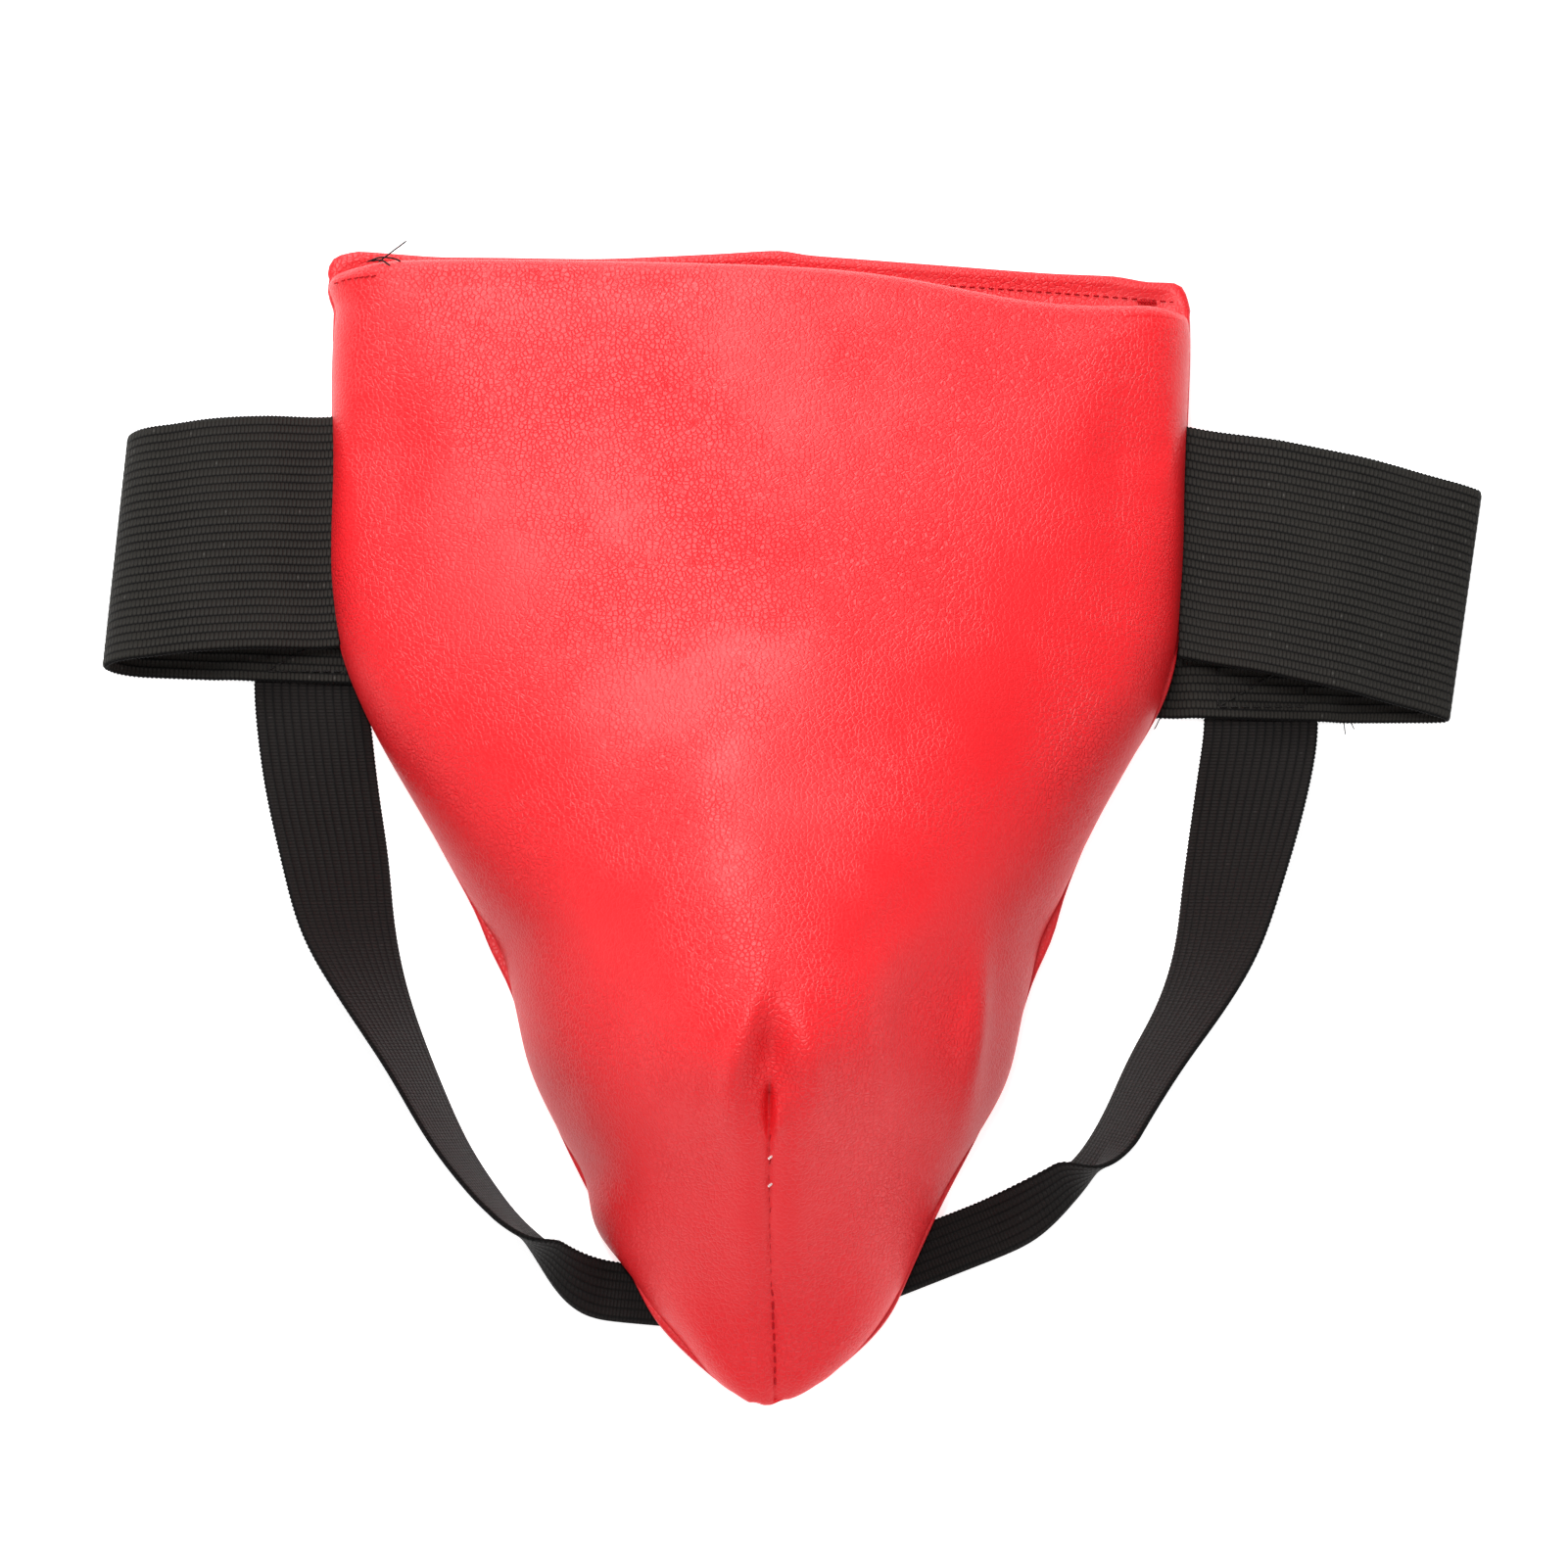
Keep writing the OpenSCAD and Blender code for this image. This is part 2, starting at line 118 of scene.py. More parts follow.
# Inner edge of each leg strap from belt to tip: x, y, direction of the outer edge and tilt in degrees
STRAPS = {
    "left": np.array([
        [-107, 32.6, 180, 0], [-104, 9, 184, 15], [-101, -10, 186, 26], [-99, -28, 190, 40],
        [-95.5, -44, 196, 56], [-89, -62, 203, 68], [-80, -82, 210, 74], [-70, -97, 222, 78],
        [-64.5, -103, 230, 80], [-58, -108, 242, 66], [-52, -110.8, 256, 36], [-46.5, -111.4, 262, 6],
        [-44, -111.6, 264, 0],
    ]),
    "right": np.array([
        [104.5, 23.4, 0, 0], [102, 8, -4, 16], [98.5, -15, -7, 34], [96, -33, -14, 48],
        [91.5, -47, -20, 58], [84, -61, -26, 64], [77, -76, -32, 69], [70, -86.5, -42, 66],
        [64, -90.4, -52, 52], [58, -92.8, -60, 34], [51, -95, -66, 6], [46, -97, -68, 0],
    ]),
}
# Folded strap ends under the tip: x, y, direction of the outer edge, at both ends
TIP_ENDS = {
    "left": np.array([[-40.6, -112, 264], [-12, -114.5, 266]]),
    "right": np.array([[42.2, -98.5, -68], [9, -111.5, -70]]),
}
SIDES = {"left": -1, "right": 1}
# The back panel's top edge from the left corner to the right one
HEM = np.array([
    [-118.6, 141.6], [-118.0, 144.6], [-116.3, 146.4], [-113.6, 147.2], [-110.9, 147.7], [-99.8, 146.9],
    [-90, 146.2], [-74, 146.0], [-50, 145.7], [-34, 146.3], [-18, 147.1], [-7, 147.8], [-1.8, 147.8],
    [5, 146.7], [17, 145.7], [41, 143.8], [65, 141.9], [78, 141.3], [84, 140.9], [91, 139.6], [96, 139.4],
    [99.3, 139.0], [100.8, 137.2], [101.6, 135.0], [102.2, 132.0],
])
# Where along x each strap begins and ends folding double
FOLDS = {"left": (-68, -56), "right": (76, 62)}

# --- curves ---


def spline(points, t):
    """Smooth curve through the points, evenly timed, from t = 0 to t = 1."""
    n = len(points) - 1
    s = np.clip(np.asarray(t, float) * n, 0, n - 1e-6)
    i = np.floor(s).astype(int)
    f = (s - i).reshape(s.shape + (1,) * (points.ndim - 1))
    a, b, c, d = points[np.maximum(i - 1, 0)], points[i], points[i + 1], points[np.minimum(i + 2, n)]
    return 0.5 * (2 * b + (c - a) * f + (2 * a - 5 * b + 4 * c - d) * f * f
                  + (3 * b - a - 3 * c + d) * f ** 3)


def chord_curve(points, count):
    """Curve through points timed by chord length, which never overshoots where spacing changes."""
    step = np.linalg.norm(np.diff(points[:, :3], axis=0), axis=1)[:, None]
    secant = np.diff(points, axis=0) / step
    before, after = secant[:-1], secant[1:]
    w1, w2 = 2 * step[1:] + step[:-1], step[1:] + 2 * step[:-1]
    with np.errstate(divide="ignore", invalid="ignore"):
        between = np.where(before * after > 0, (w1 + w2) / (w1 / before + w2 / after), 0.0)
    slope = np.concatenate([secant[:1], between, secant[-1:]])
    share = np.linspace(0, len(points) - 1, count)
    i = np.minimum(share.astype(int), len(points) - 2)
    f = (share - i)[:, None]
    h = step[i]
    return ((2 * f ** 3 - 3 * f ** 2 + 1) * points[i] + (f ** 3 - 2 * f ** 2 + f) * h * slope[i]
            + (3 * f ** 2 - 2 * f ** 3) * points[i + 1] + (f ** 3 - f ** 2) * h * slope[i + 1])


def arc_lengths(points):
    return np.concatenate([[0], np.cumsum(np.linalg.norm(np.diff(points, axis=0), axis=1))])


def even_curve(points, spacing, dims=3):
    """The polyline resampled at even steps of about the given spacing."""
    s = arc_lengths(points[:, :dims])
    count = max(2, int(round(s[-1] / spacing)) + 1)
    even = np.linspace(0, s[-1], count)
    return np.stack([np.interp(even, s, points[:, k]) for k in range(points.shape[1])], axis=1)


def smoothstep(x):
    x = np.clip(x, 0, 1)
    return x * x * (3 - 2 * x)


def unit(vectors):
    return vectors / np.maximum(np.linalg.norm(vectors, axis=-1, keepdims=True), 1e-9)


# --- meshes ---


def add_object(name, data):
    obj = bpy.data.objects.new(name, data)
    bpy.context.scene.collection.objects.link(obj)
    return obj


def make_piece(name, verts, faces, material, body="panel"):
    """A new object from vertices in millimetres, riding on a body."""
    mesh = bpy.data.meshes.new(name)
    mesh.from_pydata((np.asarray(verts, float) * MM).tolist(), [], [list(map(int, f)) for f in faces])
    mesh.validate()
    mesh.update()
    mesh.polygons.foreach_set("use_smooth", [True] * len(mesh.polygons))
    mesh.materials.append(material)
    obj = add_object(name, mesh)
    if body:
        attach(obj, body)
    return obj


def grid_faces(rows, cols, start=0, wrap=False, flip=False):
    """Quads of a grid of rows by cols vertices. wrap joins the last column to the first."""
    j, i = np.meshgrid(np.arange(rows - 1), np.arange(cols if wrap else cols - 1), indexing="ij")
    i2 = (i + 1) % cols
    quads = np.stack([j * cols + i, j * cols + i2, (j + 1) * cols + i2, (j + 1) * cols + i], axis=-1)
    quads = quads.reshape(-1, 4) + start
    return quads[:, ::-1] if flip else quads


def tube_faces(rows, cols):
    """Faces of a row of rings closed at both ends."""
    faces = grid_faces(rows, cols, wrap=True).tolist()
    return faces + [list(range(cols))[::-1], [(rows - 1) * cols + k for k in range(cols)]]


def shell_mesh(outer, inner):
    """Vertices and faces of the closed shell between two grids of the same size."""
    rows, cols = outer.shape[:2]
    size = rows * cols
    index = np.arange(size).reshape(rows, cols)
    faces = [grid_faces(rows, cols, flip=True), grid_faces(rows, cols, start=size)]
    for edge in (index[0], index[-1][::-1], index[:, 0][::-1], index[:, -1]):
        faces.append(np.stack([edge[:-1], edge[1:], edge[1:] + size, edge[:-1] + size], axis=-1))
    return np.concatenate([outer.reshape(-1, 3), inner.reshape(-1, 3)]), np.concatenate(faces)


def apply_modifiers(obj):
    """Replaces the mesh with its evaluated form, so that no modifier is left."""
    evaluated = obj.evaluated_get(bpy.context.evaluated_depsgraph_get())
    mesh = bpy.data.meshes.new_from_object(evaluated)
    old = obj.data
    obj.modifiers.clear()
    obj.data = mesh
    bpy.data.meshes.remove(old)


def tube(path, radius, sides=8, taper=0.0):
    """Vertices and faces of a closed tube along the path. taper is the share thinned at each end."""
    path = np.asarray(path, float)
    n = len(path)
    ahead = unit(np.gradient(path, axis=0))
    side = np.cross(ahead[0], [0, 0, 1.0])
    side = unit(side if np.linalg.norm(side) > 0.1 else np.cross(ahead[0], [0, 1.0, 0]))
    radii = np.full(n, radius, float)
    if taper:
        share = np.arange(n) / (n - 1)
        radii *= np.sqrt(np.clip(np.minimum(share, 1 - share) / taper, 0.12, 1))
    angles = np.arange(sides) * 2 * math.pi / sides
    verts = np.empty((n, sides, 3))
    for k in range(n):
        side = unit(side - ahead[k] * np.dot(side, ahead[k]))
        up = np.cross(side, ahead[k])
        ring = np.cos(angles)[:, None] * side + np.sin(angles)[:, None] * up
        verts[k] = path[k] + ring * radii[k]
    return verts.reshape(-1, 3), tube_faces(n, sides)


def joined(parts):
    """Several (vertices, faces) pairs as one."""
    verts, faces, start = [], [], 0
    for part_verts, part_faces in parts:
        verts.append(part_verts)
        faces.extend([[k + start for k in f] for f in part_faces])
        start += len(part_verts)
    return np.concatenate(verts), faces


# --- materials ---


def srgb(red, green, blue):
    """Linear colour from 0-255 display values."""
    def linear(c):
        c /= 255
        return c / 12.92 if c <= 0.04045 else ((c + 0.055) / 1.055) ** 2.4
    return linear(red), linear(green), linear(blue), 1.0


class Finish:
    """A node material: a Principled shader, with short ways to add and link nodes."""

    def __init__(self, name, **inputs):
        self.material = bpy.data.materials.new(name)
        self.material.use_nodes = True
        self.tree = self.material.node_tree
        self.shader = self.tree.nodes["Principled BSDF"]
        for key, value in inputs.items():
            self.shader.inputs[key.replace("_", " ")].default_value = value

    def node(self, kind, links=(), inputs=(), **settings):
        made = self.tree.nodes.new("ShaderNode" + kind)
        for key, value in settings.items():
            setattr(made, key, value)
        for key, value in dict(inputs).items():
            made.inputs[key].default_value = value
        for key, socket in dict(links).items():
            self.tree.links.new(socket, made.inputs[key])
        return made

    def math(self, operation, a, b=0.0):
        made = self.node("Math", operation=operation)
        for k, value in enumerate((a, b)):
            if isinstance(value, (int, float)):
                made.inputs[k].default_value = value
            else:
                self.tree.links.new(value, made.inputs[k])
        return made.outputs[0]

    def mix(self, a, share_a, b, share_b):
        """Sum of two values, each times its share."""
        return self.math("ADD", self.math("MULTIPLY", a, share_a), self.math("MULTIPLY", b, share_b))

    def wave(self, value):
        """Humps one unit long."""
        return self.math("ABSOLUTE", self.math("SINE", self.math("MULTIPLY", value, math.pi)))

    def position(self):
        return self.node("TexCoord").outputs["Object"]

    def texture(self, kind, output, inputs, **settings):
        """A texture in object coordinates."""
        return self.node("Tex" + kind, {"Vector": self.position()}, inputs,
                         **settings).outputs[output]

    def noise(self, scale, detail=3.0, roughness=0.5):
        return self.texture("Noise", "Fac", {"Scale": scale, "Detail": detail, "Roughness": roughness})

    def split(self, vector):
        return self.node("SeparateXYZ", {"Vector": vector}).outputs

    def ramp(self, factor, stops):
        """Colour ramp of (place, colour) stops. A number stands for a grey."""
        made = self.node("ValToRGB", links={"Fac": factor})
        elements = made.color_ramp.elements
        while len(elements) < len(stops):
            elements.new(0.5)
        for element, (place, colour) in zip(elements, stops):
            element.position = place
            grey = isinstance(colour, (int, float))
            element.color = (colour, colour, colour, 1) if grey else srgb(*colour)
        return made.outputs["Color"]

    def bump(self, height, strength, distance, normal=None):
        links = {"Height": height}
        if normal is not None:
            links["Normal"] = normal
        made = self.node("Bump", links, {"Strength": strength, "Distance": distance})
        return made.outputs["Normal"]

    def finished(self, colour, roughness, normal):
        """The material, with its three varying sockets linked."""
        for key, socket in (("Base Color", colour), ("Roughness", roughness), ("Normal", normal)):
            self.tree.links.new(socket, self.shader.inputs[key])
        return self.material


def leather_material(name, base, dark, light, grain=1.0):
    """Pebbled polyurethane leather: small irregular cells, pores and broad soft creases."""
    f = Finish(name, IOR=1.46, Coat_Weight=0.05, Coat_Roughness=0.4)
    cells = f.texture("Voronoi", "Distance", {"Scale": 820.0}, feature="DISTANCE_TO_EDGE")
    pebble = f.ramp(cells, [(0.0, 0.0), (0.18, 1.0)])
    creases = f.noise(620, 4, 0.6)
    patches = f.noise(26, 3, 0.55)
    broad = f.noise(9, 2, 0.5)
    depth = f.ramp(patches, [(0.35, 0.25), (0.7, 1.0)])
    height = f.math("MULTIPLY", f.math("ADD", pebble, f.math("MULTIPLY", creases, 0.9)), depth)
    fine = f.bump(height, 0.65 * grain, 0.00028)
    normal = f.bump(broad, 0.12, 0.001, fine)
    colour = f.ramp(f.mix(broad, 0.6, patches, 0.4), [(0.3, dark), (0.52, base), (0.75, light)])
    rough = f.ramp(f.mix(creases, 0.8, patches, 0.2), [(0.3, 0.42), (0.7, 0.5)])
    return f.finished(colour, rough, normal)


def elastic_material(name, groove_shade, yarn, glint_colour, rib, knot, stagger):
    """Ribbed woven elastic. The mesh's weave attribute gives the place along and across in mm. The grooves
    between ribs and knots are darkened as painted shade, and the crests of a few random knots are
    lightened as painted glints.
    """
    f = Finish(name, Sheen_Weight=0.02, Sheen_Roughness=0.5, IOR=1.22)
    weave = f.node("Attribute", attribute_name="weave").outputs["Vector"]
    split = f.split(weave)
    across = f.math("DIVIDE", split["Y"], rib)
    row = f.math("FLOOR", across)
    shift = f.math("MULTIPLY", f.math("MODULO", f.math("ABSOLUTE", row), 2.0), stagger)
    along = f.math("ADD", f.math("DIVIDE", split["X"], knot), shift)
    hump, ridge = f.wave(along), f.wave(across)
    fibres = f.noise(2600, 2, 0.6)
    height = f.mix(f.math("POWER", hump, 0.6), ridge, fibres, 0.3)
    cell = f.node("CombineXYZ", {"X": f.math("FLOOR", along), "Y": row}).outputs["Vector"]
    chance = f.node("TexWhiteNoise", {"Vector": cell}, noise_dimensions="3D").outputs["Value"]
    # a few random knot crests made lighter: painted glints
    knot_glints = f.math("MULTIPLY", f.math("GREATER_THAN", chance, 0.988),
                   f.math("GREATER_THAN", f.math("MULTIPLY", hump, ridge), 0.82))
    # darker in the grooves between ribs and knots: painted shade
    tone = f.ramp(f.mix(height, 0.75, f.noise(60, 3), 0.25), [(0.3, groove_shade), (0.62, yarn)])
    colour = f.node("Mix", {"Factor": knot_glints, "A": tone}, {"B": srgb(*glint_colour)},
                    data_type="RGBA").outputs["Result"]
    rough = f.ramp(fibres, [(0.3, 0.62), (0.7, 0.85)])
    return f.finished(colour, rough, f.bump(height, 0.8, 0.0004))


def cloth_material(name, dark, light, thread):
    """Plain knit cloth in object coordinates."""
    f = Finish(name, Sheen_Weight=0.3, IOR=1.45)
    split = f.split(f.position())
    waves = [f.wave(f.math("DIVIDE", split[axis], thread)) for axis in "XY"]
    height = f.mix(waves[0], waves[1], f.noise(1500, 2), 0.4)
    colour = f.ramp(height, [(0.1, dark), (0.9, light)])
    rough = f.ramp(f.noise(300, 2), [(0.3, 0.75), (0.7, 0.92)])
    return f.finished(colour, rough, f.bump(height, 0.5, 0.0003))


def foam_material(name, dark, light):
    """Open foam with small pores."""
    f = Finish(name, IOR=1.4)
    pores = f.texture("Voronoi", "Distance", {"Scale": 1100.0})
    mixed = f.mix(pores, 0.7, f.noise(240, 3), 0.5)
    colour = f.ramp(mixed, [(0.15, dark), (0.7, light)])
    rough = f.ramp(mixed, [(0.2, 0.95), (0.8, 0.8)])
    return f.finished(colour, rough, f.bump(mixed, 0.5, 0.0004))


def moulded_material(name, dark, light, rough_low, rough_high, grain):
    """Moulded plastic or rubber with a faint texture, flow marks and scuffs."""
    f = Finish(name, IOR=1.48)
    texture = f.noise(grain, 3, 0.6)
    flow = f.noise(14, 2, 0.5)
    scuffs = f.ramp(f.noise(90, 5, 0.7), [(0.55, 0.0), (0.72, 1.0)])
    rough = f.ramp(f.mix(texture, 0.6, scuffs, 0.4), [(0.25, rough_low), (0.8, rough_high)])
    colour = f.ramp(flow, [(0.3, dark), (0.7, light)])
    return f.finished(colour, rough, f.bump(texture, 0.2, 0.00015))


def thread_material(name, dark, light):
    """Twisted sewing thread with a faint sheen."""
    f = Finish(name, IOR=1.3)
    twist = f.texture("Wave", "Fac", {"Scale": 900.0, "Distortion": 1.5, "Detail": 1.0},
                      bands_direction="DIAGONAL")
    colour = f.ramp(twist, [(0.1, dark), (0.9, light)])
    rough = f.ramp(f.noise(800, 2), [(0.3, 0.6), (0.7, 0.8)])
    return f.finished(colour, rough, f.bump(twist, 0.5, 0.0001))


# Colours are 0-255 display values
RED_LEATHER = leather_material(
    "red_leatherette", (231, 22, 32), (226, 18, 28), (236, 28, 38))
HEM_LEATHER = leather_material(
    "red_leatherette_hem", (226, 26, 36), (208, 20, 30), (236, 34, 42), grain=0.8)
# each elastic's colours: painted shade for its grooves, its yarn, and a painted glint for a few knot
# crests
BELT_ELASTIC = elastic_material(
    "belt_elastic", (9, 8, 8), (42, 40, 37), (66, 64, 61),
    rib=BELT_W / BELT_RIBS, knot=1.05, stagger=0.5)
STRAP_ELASTIC = elastic_material(
    "strap_elastic", (6, 5, 5), (26, 23, 22), (42, 39, 38),
    rib=STRAP_W / STRAP_RIBS, knot=0.85, stagger=0.0)
LINING_CLOTH = cloth_material("lining_cloth", (20, 18, 18), (58, 54, 54), 0.0008)
FOAM = foam_material("foam", (96, 96, 100), (150, 150, 155))
CUP_PLASTIC = moulded_material("cup_plastic", (182, 179, 171), (197, 194, 187), 0.34, 0.52, 700)
CUP_RUBBER = moulded_material("cup_rubber", (22, 21, 21), (38, 36, 36), 0.55, 0.8, 1200)
RED_THREAD = thread_material("red_thread", (142, 6, 16), (206, 20, 30))
BLACK_THREAD = thread_material("black_thread", (10, 9, 9), (36, 33, 32))
# pale thread that paints glints of light on two of the dart's stitches
GLINT_THREAD = thread_material("painted_glint_thread", (214, 190, 186), (250, 240, 238))

# --- panel surface ---


def panel_row(v):
    """The panel's stations at v, their middle, and the way and distance from it to the right seam."""
    s = spline(PANEL, v)
    half = (s[..., 2:4] - s[..., 0:2]) / 2
    return s, (s[..., 0:2] + s[..., 2:4]) / 2, half, np.linalg.norm(half, axis=-1)


def panel_point(v, q, depth=0.0):
    """Points of the padded panel, as in the CAD: v from waist to tip, q from left to right seam."""
    v, q, depth = np.broadcast_arrays(*(np.asarray(value, float) for value in (v, q, depth)))
    s, mid, half, full = panel_row(v)
    w = np.maximum(full - depth, 0.6)
    side_h = np.maximum(s[..., 4] - depth, 0.2)
    r = np.minimum(side_h, 0.9 * w)
    a = np.abs(q)
    turn = np.radians(90) * np.maximum(0, a - TOP_SHARE) / (1 - TOP_SHARE)
    across = np.where(a < TOP_SHARE, (w - r) * a / TOP_SHARE, w - r + r * np.sin(turn))
    u = np.sign(q) * across / full
    bump = np.maximum(0, 1 - u * u) ** 1.2
    bow = WAIST_BOW * (1 - u * u) * (1 - v) ** 10
    x = mid[..., 0] + half[..., 0] * u
    y = mid[..., 1] + half[..., 1] * u + bow + depth * v ** 8
    z = SEAT_Z + 0.1 + (side_h + s[..., 5] * bump) * np.cos(turn)
    return np.stack([x, y, z], axis=-1)


def seam_edge(v, side, inset):
    """Points of a side seam, moved in from it by the inset. side is -1 at left and 1 at right."""
    _, mid, half, full = panel_row(v)
    return mid + side * half * (1 - inset / full)[..., None]


def hem_point(u):
    """The place of the mouth hem's stitches, from the left seam at u = -1 to the right one at 1."""
    _, mid, half, _ = panel_row(0.0)
    return mid + half * u + [0, WAIST_BOW * (1 - u * u) + HEM_STITCH_RISE]


def row_share(v):
    """The share of the rows that lie before v."""
    return 1 - (1 - np.asarray(v)) ** (1 / ROW_CROWDING)


def row_places(first, last, count):
    """Row positions that lie closer together towards the tip, as in the CAD."""
    return 1 - (1 - np.linspace(row_share(first), row_share(last), count)) ** ROW_CROWDING


def resample(grid, down, across):
    """Smooth values of a grid at the given shares of its rows and columns."""
    return np.swapaxes(spline(np.swapaxes(spline(grid, down), 0, 1), across), 0, 1)


def grid_normals(grid):
    return unit(np.cross(np.gradient(grid, axis=1), -np.gradient(grid, axis=0)))


DART_X = -5.2
DART_TOP_Y = -79.0
MOUTH_R = 4.8
MOUTH_TUCK = 11.0
# How much of v each millimetre of the tucked leather takes up
TUCK_STEP = 0.0125 / 2.4
SKIN = 1.1
CLOTH = {
    "quality": 6, "mass": 0.4, "tension_stiffness": 40, "compression_stiffness": 40,
    "bending_stiffness": 8.0, "use_pressure": True, "uniform_pressure_force": 3.5, "shrink_min": 0.0,
    "vertex_group_mass": "held",
}
CLOTH_FRAMES = 20
CLOTH_CAP = 4.0


def gauss(distance, width):
    return np.exp(-(distance / width) ** 2)


def dart_x(y):
    """The dart's place across the panel: it wanders a little to the right towards the tip."""
    return DART_X + 1.4 * smoothstep((-y - 100) / 45)


def cover_relief(points, q):
    """Height in mm of the front cover's puckers, pinches and soft dents over its padded shape."""
    x, y = points[..., 0], points[..., 1]
    dx = x - dart_x(y)
    below = smoothstep((DART_TOP_Y + 2 - y) / 5)
    fade = 1 - 0.35 * smoothstep((-y - 92) / 40)
    slit = 1.1 + 3.0 * gauss(y + 83, 5)
    dart = below * fade * (-slit * np.exp(-np.abs(dx) / 1.0) + 0.9 * gauss(np.abs(dx) - 5.5, 5.0))
    # a hooded hollow over the dart's top, between two ridges that lean together
    lean = 0.25 * (y - DART_TOP_Y)
    hollow = -5.0 * gauss(dx - 0.4, 6.5) * gauss(y + 72, 12)
    left_ridge = 3.2 * gauss(dx + 8.5 - lean, 3.8) * gauss(y + 68, 13)
    right_ridge = 2.5 * gauss(dx - 10.5 + lean, 5.0) * gauss(y + 71, 11)
    bead = 1.6 * np.exp(-((dx - 2.4) / 1.2) ** 2 - ((y + 85.5) / 2.2) ** 2)
    # the cup's edge under the padding, and the dents beside it
    shoulder = 2.4 * gauss(x - 44.0 - 0.1 * (y + 60), 3.4) * gauss(y + 58, 18)
    right_dent = -2.6 * gauss(x - 31, 9) * gauss(y + 58, 17)
    left_dent = -0.9 * gauss(x + 40, 10) * gauss(y + 62, 20)
    crease = -0.8 * gauss((x - 22) * 0.8 - (y + 38) * 0.6, 5) * gauss((x - 22) * 0.6 + (y + 38) * 0.8, 17)
    neck = -1.5 * gauss(x - 8, 14) * gauss(y + 28, 20) - 1.2 * gauss(x + 34, 18) * gauss(y + 6, 26)
    side = smoothstep((1 - np.abs(q)) / 0.12)
    return side * (dart + hollow + left_ridge + right_ridge + bead + shoulder + right_dent + left_dent
                   + crease + neck)


def undulation(points, size, seed, amount):
    """Gentle hand-made unevenness, the same each run."""
    flat = points.reshape(-1, 3)
    shift = Vector((seed * 17.3, seed * 5.1, seed * 9.7))
    values = [noise.noise(Vector(p) / size + shift) for p in flat]
    return amount * np.array(values).reshape(points.shape[:-1])


def mouth_shift(x):
    """How far the mouth's front edge stands above or below its even line across the panel."""
    return 0.9 - 0.5 * smoothstep((x + 90) / 60) - 6.3 * gauss(x - 68, 36)


def soften_turn(grid, q, passes):
    """Rounds the crease where the padded top turns into the sides."""
    weight = (0.5 * gauss(np.abs(q) - TOP_SHARE, 0.17))[..., None][:, 1:-1]
    for _ in range(passes):
        even = (grid[:, :-2] + grid[:, 2:]) / 2
        grid[:, 1:-1] += (even - grid[:, 1:-1]) * weight
    return grid


def top_left_flare(y):
    """How far the sides of the top left corner stand out from the CAD's seam line."""
    return 3.0 * smoothstep((y - 129) / 9)


# Where the cover's sides are drawn in (+) or stand out (-): amount, place along y, length
SIDE_WAVES = {
    "left": [(1.3, -34, 8), (-1.6, -62, 14), (-3.0, -104, 9), (1.4, -131, 8), (0.8, -90, 6),
             (-0.9, 12, 20)],
    "right": [(1.3, -31, 8), (-1.6, -66, 14), (1.0, 34, 8), (-0.9, 4, 14), (0.8, -95, 14)],
}


def cover_skin(v, q):
    """The cover's face with its sides drawn in and out, and its two lobes at the tip."""
    points = panel_point(v, q)
    y = points[..., 1]
    left, right = (sum(amount * gauss(y - place, length) for amount, place, length in SIDE_WAVES[side])
                   for side in SIDES)
    side = smoothstep((np.abs(q) - 0.5) / 0.4)
    points[..., 0] += side * np.where(q < 0, left - top_left_flare(y), -right)
    x = points[..., 0]
    lobes = (1 - 0.5 * smoothstep((x + 5.2) / 3.5)) * (1 - 0.4 * smoothstep((-6.2 - x) / 2.8))
    points[..., 1] -= 2.0 * smoothstep((v - 0.8) / 0.2) * lobes
    return points


def simulated_bulge(first):
    """Cloth simulation of the padded leather: the moves of a coarse grid whose seams stay put."""
    rows, cols = 64, 54
    v, q = row_places(first, 1, rows)[:, None], np.linspace(-1, 1, cols)[None, :]
    rest = cover_skin(v, q)
    under = rest.copy()
    under[..., 2] = SEAT_Z
    size = rows * cols
    obj = make_piece("cover_cloth", *shell_mesh(rest, under), RED_LEATHER, body=None)
    held = (np.abs(rest[..., 0] - dart_x(rest[..., 1])) < 1.6) & (rest[..., 1] < DART_TOP_Y)
    held[:2] = held[-2:] = held[:, :2] = held[:, -2:] = True
    soft = smoothstep((1 - np.abs(q)) / 0.2)
    pins = obj.vertex_groups.new(name="held")
    for k, weight in enumerate(np.where(held, 1.0, 0.25 * (1 - soft)).ravel()):
        pins.add([k], float(weight), "REPLACE")
    pins.add(list(range(size, 2 * size)), 1.0, "REPLACE")
    cloth = obj.modifiers.new("cloth", "CLOTH")
    settings = cloth.settings
    for key, value in CLOTH.items():
        setattr(settings, key, value)
    settings.effector_weights.gravity = 0
    cloth.collision_settings.use_collision = False
    cloth.collision_settings.use_self_collision = False
    scene = bpy.context.scene
    cloth.point_cache.frame_start, cloth.point_cache.frame_end = 1, CLOTH_FRAMES
    for k in range(1, CLOTH_FRAMES + 1):
        scene.frame_set(k)
    apply_modifiers(obj)
    moved = np.empty(2 * size * 3, np.float32)
    obj.data.vertices.foreach_get("co", moved)
    bpy.data.objects.remove(obj)
    scene.frame_set(1)
    move = moved.reshape(-1, 3)[:size].reshape(rows, cols, 3) / MM - rest
    length = np.linalg.norm(move, axis=-1, keepdims=True)
    return move * np.tanh(length / CLOTH_CAP) * CLOTH_CAP / np.maximum(length, 1e-6)


